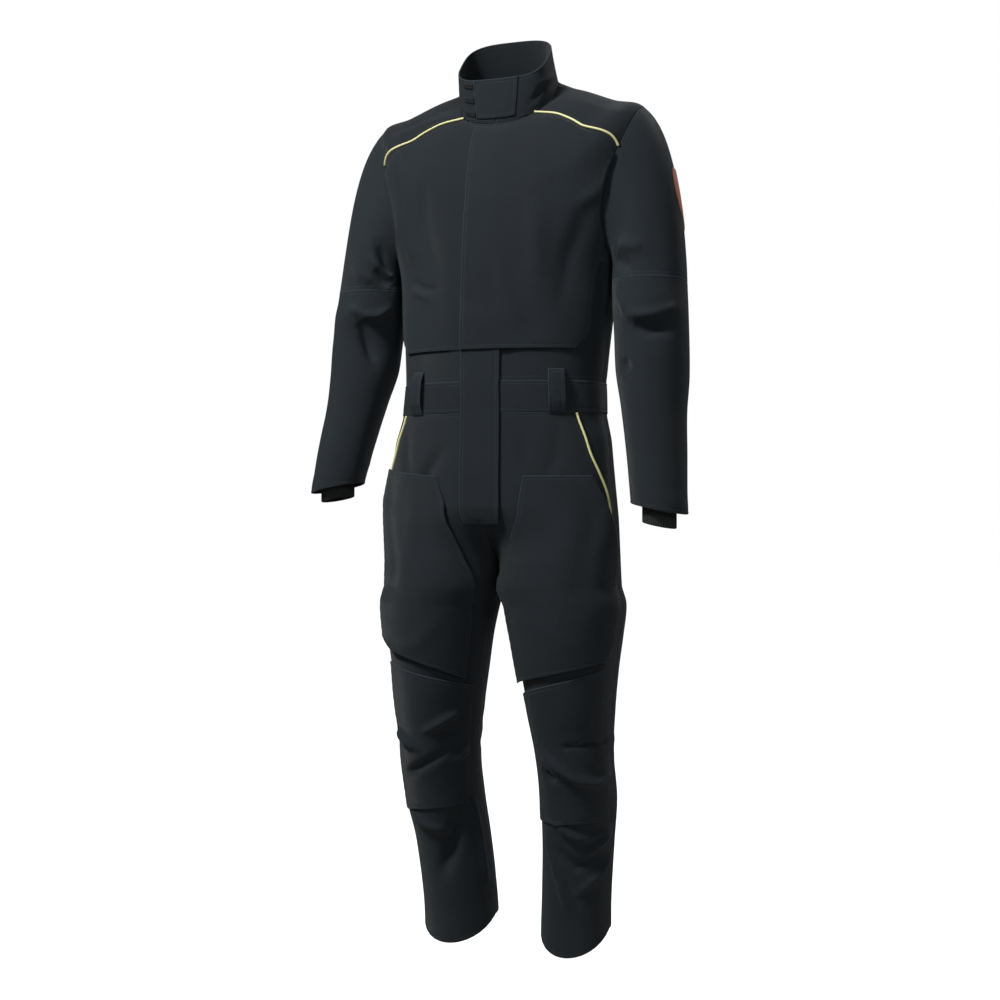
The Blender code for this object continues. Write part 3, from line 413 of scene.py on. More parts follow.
def strokes(points, folds):
    """Height at each point from creases: each has a line of points, a half width, a rise."""
    height = np.zeros(points.shape[:2])
    for line, width, rise in folds:
        count = len(line) - 1
        nearest = np.full(points.shape[:2], 1e9)
        place = np.zeros(points.shape[:2])
        for k in range(count):
            start = np.array(line[k])
            run = np.array(line[k + 1]) - start
            share = np.clip(((points - start) @ run) / max(run @ run, 1e-12), 0.0, 1.0)
            away = np.linalg.norm(points - start - share[..., None] * run, axis=-1)
            closer = away < nearest
            nearest = np.where(closer, away, nearest)
            place = np.where(closer, (k + share) / count, place)
        taper = np.sqrt(np.clip(np.sin(np.pi * np.clip(place, 0.02, 0.98)), 0.0, 1.0))
        height += CREASE_GAIN * rise * taper * np.exp(-(nearest / (CREASE_WIDTH * width)) ** 2)
    return height


def normals_of(points, heart, loop):
    """Unit normals of a grid of points, pointing away from the upright line at heart."""
    if loop:
        along = np.roll(points, -1, axis=1) - np.roll(points, 1, axis=1)
    else:
        along = np.gradient(points, axis=1)
    down = np.gradient(points, axis=0)
    normals = np.cross(down, along)
    normals /= np.maximum(np.linalg.norm(normals, axis=-1, keepdims=True), 1e-12)
    outward = points - np.array((heart[0], heart[1], 0.0))
    outward[..., 2] = 0.0
    if (normals * outward).sum() < 0:
        normals = -normals
    return normals


def wall_object(name, outer, inner, values, material, loop):
    """A closed mesh between two grids of points, with named values on its vertices."""
    rows, columns = outer.shape[:2]
    index = np.arange(rows * columns).reshape(rows, columns)
    if loop:
        index = np.concatenate([index, index[:, :1]], axis=1)
    quads = np.stack([index[:-1, :-1], index[:-1, 1:], index[1:, 1:], index[1:, :-1]], axis=-1)
    quads = quads.reshape(-1, 4)
    offset = rows * columns
    faces = [quads, quads[:, ::-1] + offset]
    top, bottom = index[0], index[-1]
    faces.append(np.stack([top[1:], top[:-1], top[:-1] + offset, top[1:] + offset], axis=-1))
    faces.append(np.stack([bottom[:-1], bottom[1:], bottom[1:] + offset, bottom[:-1] + offset],
                          axis=-1))
    if not loop:
        left, right = index[:, 0], index[:, -1]
        faces.append(np.stack([left[:-1], left[1:], left[1:] + offset, left[:-1] + offset],
                              axis=-1))
        faces.append(np.stack([right[1:], right[:-1], right[:-1] + offset, right[1:] + offset],
                              axis=-1))
    faces = np.concatenate(faces)
    points = np.concatenate([outer.reshape(-1, 3), inner.reshape(-1, 3)])
    first = points[faces[:, 0]]
    volume = np.einsum("ij,ij->i", first, np.cross(points[faces[:, 1]], points[faces[:, 2]]))
    volume += np.einsum("ij,ij->i", first, np.cross(points[faces[:, 2]], points[faces[:, 3]]))
    if volume.sum() < 0:
        faces = faces[:, ::-1]
    mesh = bpy.data.meshes.new(name)
    mesh.vertices.add(len(points))
    mesh.vertices.foreach_set("co", points.astype(np.float32).ravel())
    mesh.loops.add(faces.size)
    mesh.loops.foreach_set("vertex_index", faces.astype(np.int32).ravel())
    mesh.polygons.add(len(faces))
    mesh.polygons.foreach_set("loop_start", np.arange(0, faces.size, 4, dtype=np.int32))
    mesh.update(calc_edges=True)
    mesh.validate()
    for key, value in values.items():
        data = mesh.attributes.new(key, "FLOAT", "POINT")
        both = np.concatenate([value.ravel(), value.ravel()])
        data.data.foreach_set("value", both.astype(np.float32))
    mesh.materials.append(material)
    mesh.shade_smooth()
    mesh.set_sharp_from_angle(angle=math.radians(60))
    piece = bpy.data.objects.new(name, mesh)
    bpy.context.scene.collection.objects.link(piece)
    return piece


SOFT_RISE = 0.0012
SOFT_SCALE = 9.0
CALM_REACH = 0.02
PUCKER_RISE = 0.00018
PUCKER_PACE = 420.0
PUCKER_REACH = 0.009
ROLL_SHARE = 0.45
ROLL_REACH = 0.0016
GROOVE_REACH = 0.0011


def drape(name, place, us, vs, low, wall, heart, material, hems="tblr", folds=(), loop=False,
          soft=1.0, stitched=True):
    """A fine wall of cloth over place(u, v), with hems and creases, for the solid of that name.

    low is the height of its inside and wall its thickness, each a number or a function of
    the grid's points and of u and v. hems names the turned edges: t, b, l and r.
    """
    points = np.array([[tuple(place(u, v)) for u in us] for v in vs])
    normals = normals_of(points, heart, loop)
    grid_u, grid_v = np.meshgrid(np.array(us), np.array(vs))
    steps_u = np.linalg.norm(np.diff(points, axis=1), axis=-1)
    steps_v = np.linalg.norm(np.diff(points, axis=0), axis=-1)
    across = np.concatenate([np.zeros((len(vs), 1)), np.cumsum(steps_u, axis=1)], axis=1)
    down = np.concatenate([np.zeros((1, len(us))), np.cumsum(steps_v, axis=0)], axis=0)
    sides = {"t": down, "b": down[-1:] - down, "l": across, "r": across[:, -1:] - across}
    hem = np.full(across.shape, 9.0)
    along = np.zeros(across.shape)
    for side, distance in sides.items():
        if side in hems:
            along = np.where(distance < hem, across if side in "tb" else down, along)
            hem = np.minimum(hem, distance)
    bottom = low(points, grid_u, grid_v) if callable(low) else np.full(across.shape, low)
    thick = wall(points, grid_u, grid_v) if callable(wall) else np.full(across.shape, wall)
    relief = strokes(points, folds)
    if soft:
        waves = np.array([[noise.noise(Vector(p) * SOFT_SCALE) for p in row] for row in points])
        relief += soft * SOFT_RISE * waves * np.clip(hem / CALM_REACH, 0.15, 1.0)
        pucker = np.sin(along * PUCKER_PACE) * np.exp(-(hem / PUCKER_REACH) ** 2)
        relief += PUCKER_RISE * soft * pucker
    roll = ROLL_SHARE * thick * (1.0 - np.clip(hem / ROLL_REACH, 0.0, 1.0)) ** 2
    groove = np.exp(-((hem - STITCH_INSET) / GROOVE_REACH) ** 2) if stitched else 0.0
    outer = points + normals * (bottom + thick + relief - roll - GROOVE_DEPTH * groove)[..., None]
    inner = points + normals * (bottom + relief + 0.2 * roll)[..., None]
    values = {"across": across, "down": down, "hem": hem, "along": along}
    piece = wall_object(name, outer, inner, values, material, loop)
    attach(piece, "root")
    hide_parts(name)
    return piece


def spot_place(spots):
    """place(u, v) over a coarse grid of spots on the torso."""
    flat = [[value for spot in row for value in spot] for row in spots]
    cache = {}

    def place(u, v):
        if v not in cache:
            row = spline(flat, v * (len(flat) - 1))
            cache[v] = [tuple(row[k:k + 2]) for k in range(0, len(row), 2)]
        row = cache[v]
        return torso_point(*spline(row, u * (len(row) - 1)))

    return place


TWILL = cloth_shade("twill", CLOTH_COLOUR)
TORSO_HEART = (0.0, 0.0)

front = front_edges()
front_spots = between(*front)
for side in ("left", "right"):
    spots = front_spots if side == "left" else [mirror_spots(row) for row in front_spots]
    drape("bodice_front_" + side, spot_place(spots), lines(70, 0.30),
          lines(80, 0.45), -CLOTH, CLOTH, TORSO_HEART, TWILL)

half_edge = yoke_edge_left()[-len(BACK_YOKE_SHARES):]
back_top = half_edge + mirror_spots(half_edge[:-1])[::-1]
back_left = [armhole_spot(-turn) for turn in ARMHOLE_STATIONS[YOKE_STATION:]]
back_left += [(90.0, ring) for ring in side_seam_rings(5)]
back_bottom = [(mix(90.0, 270.0, i / (len(back_top) - 1)), RING_COUNT)
               for i in range(len(back_top))]
back_spots = between(back_top, back_bottom, back_left, mirror_spots(back_left))
drape("bodice_back", spot_place(back_spots), lines(90, 0.50), lines(70, 0.40),
      -CLOTH, CLOTH, TORSO_HEART, TWILL)

# Yoke
# One panel of the same twill over both shoulders and round the back of the neck, sewn to
# the fronts, the back, the collar and the sleeves.
NECK_STATIONS_YOKE = (43.5, 49, 55, 62, 69, 75, 82.5, 90, 97.5, 105, 130, 155, 180)
YOKE_START = (3.5, 0.14)
yoke_outer = yoke_edge_left()
yoke_outer[0] = (yoke_outer[0][0] + YOKE_START[0], YOKE_START[1])
columns = []
for (angle0, ring0), (angle1, ring1) in zip([(a, 0.0) for a in NECK_STATIONS_YOKE], yoke_outer):
    columns.append([(mix(angle0, angle1, v), mix(ring0, ring1, v)) for v in (0, 0.3, 0.65, 1)])
columns += [mirror_spots(column) for column in columns[:-1]][::-1]
yoke_spots = [[column[j] for column in columns] for j in range(4)]
drape("shoulder_yoke", spot_place(yoke_spots), lines(200, 0.62), lines(34, 0.15),
      -CLOTH, CLOTH, TORSO_HEART, TWILL)

# Yoke piping
# Thin cord wrapped in a strip of pale yellow cloth. It is caught in the seam between the
# yoke and each front, so that half of it shows.
PIPING_RADIUS = 0.0020
PIPING_COLOUR = (0.55, 0.54, 0.26, 1.0)
PIPING = Shade("piping", PIPING_COLOUR, 0.55).material


def cord_object(name, path, radius, material, sides=12):
    """A round cord along a list of points, with its ends closed."""
    points = np.array(path)
    ahead = np.gradient(points, axis=0)
    ahead /= np.linalg.norm(ahead, axis=1, keepdims=True)
    side = np.cross(ahead, np.array((0.0, 0.0, 1.0)))
    side /= np.linalg.norm(side, axis=1, keepdims=True)
    rise = np.cross(side, ahead)
    turns = np.linspace(0.0, 2.0 * math.pi, sides, endpoint=False)
    rings = points[:, None] + radius * (np.cos(turns)[None, :, None] * side[:, None]
                                        + np.sin(turns)[None, :, None] * rise[:, None])
    count = len(points)
    faces = [(k * sides + s, k * sides + (s + 1) % sides, (k + 1) * sides + (s + 1) % sides,
              (k + 1) * sides + s) for k in range(count - 1) for s in range(sides)]
    faces.append(tuple(reversed(range(sides))))
    faces.append(tuple((count - 1) * sides + s for s in range(sides)))
    mesh = bpy.data.meshes.new(name)
    mesh.from_pydata([tuple(p) for p in rings.reshape(-1, 3)], [], faces)
    mesh.materials.append(material)
    mesh.shade_smooth()
    piece = bpy.data.objects.new(name, mesh)
    bpy.context.scene.collection.objects.link(piece)
    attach(piece, "root")
    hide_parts(name)


seam = list(YOKE_SEAM) + [armhole_spot(60)]
for side in ("left", "right"):
    path = []
    for k in range(61):
        angle, ring = spline(seam, 0.06 + k / 60 * (len(seam) - 1.1))
        angle = angle if side == "left" else 360.0 - angle
        point = torso_point(angle, ring)
        outward = Vector((point.x, point.y - 0.06, 0.10)).normalized()
        path.append(point + outward * (PIPING_RADIUS * 0.9))
    cord_object("yoke_piping_" + side, path, PIPING_RADIUS, PIPING)

# Collar
# A stand-up band of doubled twill, sewn to the neck. A tab closes it in front, and three
# short strips of hook tape beside the tab hold it.
RIM_HALF_WIDTH = 0.080
RIM_BACK = 0.034
RIM_SQUARE = 0.62
TAB_TURN = 19.5
TAB_FOOT = 0.11
BAND_END = 0.1
COLLAR_HEIGHT_FRONT = 0.0745
COLLAR_HEIGHT_BACK = 0.064
GRIP_LEVELS = (0.86, 0.52, 0.20)
GRIP_STEP = 1.5
GRIP_STRIP_WIDTH = 0.024
GRIP_STRIP_HEIGHT = 0.009
FLAP_CLOTH = 0.0016
LAY_GAP = 0.0009


def collar_point(angle, level):
    base = torso_point(angle, 0.0)
    c = power(math.cos(math.radians(angle)), RIM_SQUARE)
    x = RIM_HALF_WIDTH * power(math.sin(math.radians(angle)), RIM_SQUARE)
    y = mix(RIM_BACK, -NECK_FRONT, 0.5 + 0.5 * c)
    front_z = -NECK_DROP_FRONT + COLLAR_HEIGHT_FRONT
    back_z = NECK_RISE_BACK + COLLAR_HEIGHT_BACK
    rim = Vector((x, y, mix(front_z, back_z, 0.5 - 0.5 * c)))
    lean = level ** 0.8
    return Vector((mix(base.x, rim.x, lean), mix(base.y, rim.y, lean),
                   mix(base.z, rim.z, level)))


def band_place(first, last, low_level, high_level):
    def place(u, v):
        return collar_point(mix(first, last, u), mix(high_level, low_level, v))

    return place


COLLAR_FOLDS = (
    ([tuple(collar_point(60 + k * 8, 0.62 - 0.06 * k)) for k in range(5)], 0.006, 0.0016),
    ([tuple(collar_point(40 + k * 7, 0.30 + 0.05 * k)) for k in range(5)], 0.006, -0.0014),
)
COLLAR_TWILL = cloth_shade("collar_twill", CLOTH_COLOUR)
drape("collar_band", band_place(BAND_END, 360.0 - BAND_END, 0.0, 1.0), lines(170, 0.46),
      lines(20, 0.065), -CLOTH, CLOTH, (0.0, -0.01), COLLAR_TWILL, folds=COLLAR_FOLDS,
      soft=0.6)
drape("collar_tab", band_place(-TAB_TURN, TAB_TURN, TAB_FOOT, 1.0), lines(24, 0.068),
      lines(20, 0.06), LAY_GAP, FLAP_CLOTH, (0.0, 0.05), COLLAR_TWILL,
      soft=0.5)
GRIP = cloth_shade("grip", (0.006, 0.007, 0.008, 1.0), 0.0008)
reach = math.degrees(GRIP_STRIP_WIDTH / RIM_HALF_WIDTH)
tall = 0.5 * GRIP_STRIP_HEIGHT / COLLAR_HEIGHT_FRONT
for number, level in enumerate(GRIP_LEVELS):
    first = -TAB_TURN - GRIP_STEP - reach
    drape("collar_grip_%d" % (number + 1),
          band_place(first, first + reach, level - tall, level + tall),
          lines(16, 0.024), lines(6, 0.009, False, False), LAY_GAP, FLAP_CLOTH,
          (0.0, 0.05), GRIP, soft=0.0, stitched=False)

# Chest panels
# Loose second layers of twill over the chest, sewn into the yoke and armhole seams. The
# left laps over the right and hides the fastener, and their lower edges hang free.
PLACKET_HALF_WIDTH = 0.034
SEWN_GAP = 0.0004
CHEST_PANEL_LENGTH = 0.452
CHEST_PANEL_CHAMFER = 0.028
FLAP_LIFT = 0.0030
FLAP_RIDGE = 0.0024
OVERLAP_STEP = LAY_GAP + FLAP_CLOTH
PANEL_INSET = 2.4
PANEL_TOP_RING = 0.24
PANEL_YOKE_STEP = (-3.0, 0.18)
PANEL_ARMHOLE_STEP = 0.12
PANEL_CORNER_SPAN = 11.0
PANEL_SIDE_SHARES = (0.34, 0.67, 1.0)
PANEL_LAP = 0.012


def angle_at_width(x, ring):
    half_width = spline(TORSO_RINGS, ring)[0]
    return math.degrees(math.asin(power(x / half_width, 1 / ROUNDNESS)))


def chest_panel_spots(inner_x):
    """Edges of a chest panel on the left side; inner_x is where its free edge lies."""
    top = [(angle_at_width(inner_x, 0.0), PANEL_TOP_RING), (20.0, PANEL_TOP_RING)]
    top += [(angle + PANEL_YOKE_STEP[0], ring + PANEL_YOKE_STEP[1])
            for angle, ring in YOKE_SEAM]
    angle, ring = armhole_spot(ARMHOLE_STATIONS[YOKE_STATION])
    top.append((angle - PANEL_INSET, ring + PANEL_ARMHOLE_STEP))
    right = [top[-1]]
    for turn in ARMHOLE_STATIONS[YOKE_STATION + 1:-2]:
        angle, ring = armhole_spot(turn)
        right.append((angle - PANEL_INSET, ring))
    side_angle, side_ring = right[-1]
    low_ring = ring_at_drop(side_angle, CHEST_PANEL_LENGTH - CHEST_PANEL_CHAMFER)
    for share in PANEL_SIDE_SHARES:
        right.append((side_angle - share, mix(side_ring, low_ring, share)))
    corner = side_angle - PANEL_CORNER_SPAN
    right.append((corner, ring_at_drop(corner, CHEST_PANEL_LENGTH)))
    start = angle_at_width(inner_x, RING_COUNT - 1)
    bottom = []
    for i in range(len(top)):
        angle = mix(start, corner, i / (len(top) - 1))
        bottom.append((angle, ring_at_drop(angle, CHEST_PANEL_LENGTH)))
    free_rows = 4
    left = []
    for j in range(len(right)):
        ring = max(ARMPIT_RING * CENTRE_SHARES[min(j, free_rows)], PANEL_TOP_RING)
        if j > free_rows:
            ring = mix(ring, bottom[0][1], (j - free_rows) / (len(right) - 1 - free_rows))
        left.append((angle_at_width(inner_x, ring), ring))
    return between(top, bottom, left, right)


PANEL_ROWS = 11


def ridge_by_yoke(x, v):
    rise = smooth(5.0, 1.0, v * PANEL_ROWS)
    return FLAP_RIDGE * rise * smooth(0.050, 0.110, x)


def left_low(points, u, v):
    lap = 1.0 - smooth(0.0, 0.050, points[..., 0])
    end = smooth(CHEST_PANEL_LENGTH - 0.085, CHEST_PANEL_LENGTH - 0.045, -points[..., 2])
    end = end * (1.0 - smooth(PLACKET_HALF_WIDTH, PLACKET_HALF_WIDTH + 0.040,
                                    points[..., 0]))
    lift = FLAP_LIFT + (LAY_GAP + 1.5 * OVERLAP_STEP - FLAP_LIFT) * lap
    lift = SEWN_GAP + (lift - SEWN_GAP) * smooth(0.0, 0.05, v)
    return lift + 1.3 * OVERLAP_STEP * end + ridge_by_yoke(points[..., 0], v)


def right_low(points, u, v):
    x = -points[..., 0]
    lap = 1.0 - smooth(PLACKET_HALF_WIDTH, 2 * PLACKET_HALF_WIDTH, x)
    lift = FLAP_LIFT + (LAY_GAP - FLAP_LIFT) * lap
    lift = SEWN_GAP + (lift - SEWN_GAP) * smooth(0.0, 0.05, v)
    return lift + ridge_by_yoke(x, v)


def torso_line(*spots):
    return [tuple(torso_point(angle, ring_at_drop(angle, drop))) for angle, drop in spots]


CHEST_FOLDS_LEFT = (
    (torso_line((20, 0.20), (23, 0.27), (28, 0.34)), 0.020, 0.0018),
    (torso_line((48, 0.22), (44, 0.30), (42, 0.38)), 0.018, -0.0018),
    (torso_line((8, 0.30), (12, 0.37), (20, 0.42)), 0.016, 0.0014),
    (torso_line((58, 0.16), (50, 0.20), (40, 0.22)), 0.014, 0.0016),
)
CHEST_FOLDS_RIGHT = (
    (torso_line((318, 0.33), (328, 0.345), (338, 0.35)), 0.006, -0.0016),
    (torso_line((316, 0.345), (324, 0.355), (332, 0.365)), 0.007, 0.0018),
    (torso_line((312, 0.20), (318, 0.26), (322, 0.30)), 0.016, 0.0020),
    (torso_line((334, 0.16), (332, 0.24), (336, 0.31)), 0.018, -0.0016),
)
piece = drape("chest_panel_left", spot_place(chest_panel_spots(-PLACKET_HALF_WIDTH)),
              lines(80, 0.25), lines(110, 0.40), left_low, FLAP_CLOTH, TORSO_HEART, TWILL,
              folds=CHEST_FOLDS_LEFT)
right_spots = [mirror_spots(row) for row in chest_panel_spots(PANEL_LAP)]
piece = drape("chest_panel_right", spot_place(right_spots), lines(70, 0.20),
              lines(110, 0.40), right_low, FLAP_CLOTH, TORSO_HEART, TWILL,
              folds=CHEST_FOLDS_RIGHT)

# Trousers
# Four long twill panels from the waistband to the turned hems, joined at the side seams,
# the inseams and the middle. The cloth creases round the knees and over the shins.
WAISTBAND_HEIGHT = 0.052
BAND_DROP = BODICE_LENGTH + WAISTBAND_HEIGHT
HIP_HALF_WIDTH = 0.205
HIP_FRONT = 0.121
HIP_BACK = 0.102
HIP_LINE_FRONT = -0.028
RISE = 0.289
INSEAM = 0.580
THIGH_HALF_WIDTH = 0.101
THIGH_HALF_DEPTH = 0.115
LEG_SPREAD = 0.116
LEG_SWEEP = 0.055
HEM_FRONT_DROP = 0.040
FORK_START = 0.52
LEG_GIRTH = {"left": 0.96, "right": 1.03}
HEM_LONGER = {"left": 0.0060, "right": 0.0}
HIP_ROWS = (
    # drop below the waistband as a share of the rise, half width, front, side line, back
    (0.00, 0.875, 0.975, 0.43, 0.960),
    (0.15, 0.925, 0.985, 0.71, 0.970),
    (0.35, 0.960, 1.000, 1.00, 0.990),
    (0.60, 0.985, 1.000, 0.79, 1.000),
    (1.00, 1.000, 1.000, 0.36, 1.000),
)
LEG_ROWS = (
    # drop below the fork as a share of the inseam, middle across, middle back,
    # half width, half depth, drop of the front edge
    (-0.25, 0.855, -0.25, 0.990, 1.00, 0.00),
    (0.00, 0.885, -0.20, 1.000, 1.00, 0.00),
    (0.05, 0.980, -0.18, 0.965, 0.99, 0.00),
    (0.14, 1.010, -0.18, 0.885, 0.94, 0.00),
    (0.24, 1.020, -0.16, 0.805, 0.86, 0.00),
    (0.34, 1.040, -0.12, 0.735, 0.78, 0.00),
    (0.50, 1.070, 0.12, 0.650, 0.68, 0.00),
    (0.62, 1.070, 0.42, 0.650, 0.64, 0.05),
    (0.76, 1.005, 0.74, 0.625, 0.60, 0.25),
    (0.90, 0.945, 0.94, 0.615, 0.58, 0.60),
    (1.00, 0.920, 1.00, 0.620, 0.58, 1.00),
)
LEG_FOLDS = {
    "left": (
        # share of the inseam, turn from the inseam, reach down, reach round, height
        (0.42, 40.0, 0.045, 50.0, -0.0035),
        (0.53, 20.0, 0.050, 60.0, 0.0030),
        (0.69, -20.0, 0.050, 40.0, 0.0040),
        (0.80, 35.0, 0.060, 40.0, -0.0040),
    ),
    "right": (
        # share of the inseam, turn from the inseam, reach down, reach round, height
        (0.44, 30.0, 0.045, 50.0, -0.0030),
        (0.53, 10.0, 0.050, 60.0, 0.0030),
        (0.68, 20.0, 0.050, 45.0, 0.0045),
        (0.77, -30.0, 0.070, 35.0, -0.0060),
    ),
}


def fold_height(folds, place, turn):
    """The sum of soft ridges and dents at a place along and a turn round a tube."""
    height = 0.0
    for middle, centre, along, around, rise in folds:
        away = ((turn - centre + 180.0) % 360.0 - 180.0) / around
        height += rise * math.exp(-((place - middle) / along) ** 2 - away * away)
    return height


def hip_ring(drop):
    width, front, line, back = table_at(HIP_ROWS, drop / RISE)
    return HIP_HALF_WIDTH * width, HIP_FRONT * front, HIP_LINE_FRONT * line, HIP_BACK * back


def trouser_point(side, part, u, drop):
    """The left leg's cloth; u runs 0 to 1 from the middle or inseam to the side seam."""
    if u < 0 and drop < RISE:
        point = trouser_point(side, part, -u, drop)
        point.x = -point.x
        return point
    if u < 0:
        return trouser_point(side, "back" if part == "front" else "front", -u, drop)
    if u > 1:
        return trouser_point(side, "back" if part == "front" else "front", 2 - u, drop)
    half_width, front, line, back = hip_ring(drop)
    theta = math.radians(90 * u)
    x = half_width * power(math.sin(theta), ROUNDNESS)
    reach = power(math.cos(theta), ROUNDNESS)
    y = line - (front + line) * reach if part == "front" else line + (back - line) * reach
    hip = Vector((x, y, -BAND_DROP - drop))
    share = (drop - RISE) / INSEAM
    cx, cy, a, b, low = table_at(LEG_ROWS, max(share, -0.25))
    turn = math.radians(-90 + 180 * u)
    deep = math.cos(turn) * (-1 if part == "front" else 1)
    girth = mix(1.0, LEG_GIRTH[side], smooth(0.1, 0.5, share))
    around = -90 + 180 * u if part == "front" else 270 - 180 * u
    girth += fold_height(LEG_FOLDS[side], share, around) / THIGH_HALF_WIDTH
    sag = HEM_FRONT_DROP * low * (-0.5 * deep + 0.5 * abs(deep) - 0.15 * max(deep, 0.0))
    leg = Vector((LEG_SPREAD * cx + THIGH_HALF_WIDTH * a * girth * math.sin(turn),
                  LEG_SWEEP * cy + THIGH_HALF_DEPTH * b * deep * girth,
                  -BAND_DROP - drop - sag))
    part_way = smooth(FORK_START * RISE, RISE, drop)
    return hip.lerp(leg, part_way)


def leg_surface(side, part):
    """place(u, drop) of one trouser panel, on its own side of the body."""
    mirror = 1.0 if side == "left" else -1.0

    def surface(u, drop):
        point = trouser_point(side, part, u, drop)
        return Vector((mirror * point.x, point.y, point.z))

    return surface


def leg_line(side, *spots, part="front"):
    """A crease on a leg: side share and share of the inseam for each point."""
    surface = leg_surface(side, part)
    return [tuple(surface(u, RISE + share * INSEAM)) for u, share in spots]


LEG_CREASES = {
    "left": (
        (leg_line("left", (0.53, 0.446), (0.72, 0.440), (0.92, 0.440)), 0.005, -0.0034),
        (leg_line("left", (0.30, 0.450), (0.45, 0.500), (0.62, 0.541), (0.77, 0.553),
                  (0.93, 0.534)), 0.009, 0.0050),
        (leg_line("left", (0.34, 0.520), (0.39, 0.539), (0.44, 0.550)), 0.007, -0.0042),
        (leg_line("left", (0.38, 0.660), (0.50, 0.695), (0.64, 0.711), (0.90, 0.704)),
         0.007, 0.0034),
        (leg_line("left", (0.30, 0.704), (0.42, 0.800), (0.54, 0.905)), 0.009, 0.0045),
        (leg_line("left", (0.67, 0.754), (0.80, 0.735), (0.94, 0.715)), 0.008, 0.0032),
        (leg_line("left", (0.61, 0.858), (0.80, 0.820), (0.98, 0.782)), 0.009, 0.0034),
        (leg_line("left", (0.42, 0.740), (0.60, 0.790), (0.80, 0.770)), 0.009, -0.0030),
        (leg_line("left", (0.20, -0.46), (0.23, -0.36), (0.32, -0.27)), 0.014, -0.0020),
        (leg_line("left", (0.46, -0.46), (0.42, -0.37), (0.34, -0.30)), 0.014, -0.0014),
    ),
    "right": (
        (leg_line("right", (0.22, 0.365), (0.34, 0.390), (0.46, 0.420)), 0.008, 0.0034),
        (leg_line("right", (0.25, 0.420), (0.30, 0.428), (0.36, 0.432)), 0.007, -0.0030),
        (leg_line("right", (0.74, 0.425), (0.66, 0.450), (0.55, 0.478)), 0.008, 0.0046),
        (leg_line("right", (0.63, 0.552), (0.48, 0.520), (0.30, 0.478)), 0.008, -0.0042),
        (leg_line("right", (0.13, 0.478), (0.20, 0.495), (0.26, 0.512)), 0.008, 0.0036),
        (leg_line("right", (0.70, 0.667), (0.56, 0.700), (0.42, 0.717)), 0.008, 0.0040),
        (leg_line("right", (0.22, 0.650), (0.34, 0.740), (0.49, 0.834)), 0.014, -0.0058),
        (leg_line("right", (0.11, 0.640), (0.10, 0.760), (0.09, 0.879)), 0.007, 0.0028),
        (leg_line("right", (0.20, -0.40), (0.30, -0.33), (0.36, -0.27)), 0.014, -0.0022),
        (leg_line("right", (0.56, -0.46), (0.52, -0.38), (0.46, -0.30)), 0.014, -0.0014),
    ),
}
KNEE_BACK_SPOTS = (
    # points of a crease behind the knee, half width, rise
    (((0.15, 0.400), (0.45, 0.385), (0.80, 0.410)), 0.011, -0.0024),
    (((0.20, 0.440), (0.50, 0.430), (0.85, 0.445)), 0.009, 0.0020),
    (((0.12, 0.475), (0.42, 0.480), (0.72, 0.465)), 0.010, -0.0024),
    (((0.25, 0.530), (0.52, 0.545), (0.84, 0.520)), 0.010, -0.0016),
    (((0.30, -0.060), (0.50, -0.030), (0.80, -0.050)), 0.014, -0.0012),
)
for side in ("left", "right"):
    mirror = 1.0 if side == "left" else -1.0
    back_creases = [(leg_line(side, *spots, part="back"), width, rise)
                    for spots, width, rise in KNEE_BACK_SPOTS]
    for part in ("front", "back"):
        surface = leg_surface(side, part)

        def place(u, v):
            return surface(u, (RISE + INSEAM + HEM_LONGER[side] * v) * v)

        drape("trouser_%s_%s" % (part, side), place, lines(52, 0.19),
              lines(220 if part == "front" else 150, 0.87), -CLOTH, CLOTH,
              (mirror * 0.10, 0.0), TWILL,
              folds=LEG_CREASES[side] if part == "front" else back_creases)

# Waistband
# A plain band of doubled twill, sewn between the bodice and the trousers and stitched
# along both edges.
BAND_PROUD = 0.0010


def waist_point(angle, drop):
    """Cloth from the waist to the fork as one ring, 0 at the lower edge of the waistband."""
    turn = angle % 360
    part = "front" if turn < 90 or turn > 270 else "back"
    u = {0: turn / 90, 1: 2 - turn / 90, 2: turn / 90 - 2, 3: 4 - turn / 90}[int(turn // 90)]
    if drop >= 0:
        point = trouser_point("left", part, u, drop)
        point.x = abs(point.x) * (1 if turn < 180 else -1)
        return point
    share = min(-drop / WAISTBAND_HEIGHT, 1.0)
    low = trouser_point("left", part, u, 0.0)
    low.x = abs(low.x) * (1 if turn < 180 else -1)
    return low.lerp(torso_point(angle, RING_COUNT), share)


def band_around(u, v):
    return waist_point(360.0 * u, -WAISTBAND_HEIGHT * (1.0 - v))


turns = [k / 240 for k in range(240)]
drape("waistband", band_around, turns, lines(16, WAISTBAND_HEIGHT),
      BAND_PROUD - CLOTH, CLOTH, TORSO_HEART, TWILL, hems="tb", loop=True,
      soft=0.6)

# Belt loops
# Five strips of doubled twill, stitched along both edges. They are sewn down at their ends
# and bow out between them, so that a belt goes through.
BELT_LOOP_WIDTH = 0.034
BELT_LOOP_HEIGHT = 0.071
BELT_LOOP_BOW = 0.0075
BELT_LOOP_ROWS = (
    # share of the height, how far it bows out
    (0.00, 0.00),
    (0.12, 0.45),
    (0.24, 0.85),
    (0.50, 1.00),
    (0.76, 0.90),
    (0.90, 0.35),
    (1.00, 0.00),
)
span = 0.5 * math.degrees(BELT_LOOP_WIDTH / WAIST_HALF_WIDTH)
above = BELT_LOOP_HEIGHT - WAISTBAND_HEIGHT


def loop_low(points, u, v):
    shares = [row[0] for row in BELT_LOOP_ROWS]
    bows = [row[1] for row in BELT_LOOP_ROWS]
    bow = np.interp(v, shares, bows)
    proud = BAND_PROUD * smooth(0.0, 0.10, v) * smooth(1.0, 0.90, v)
    return proud + SEWN_GAP + BELT_LOOP_BOW * bow


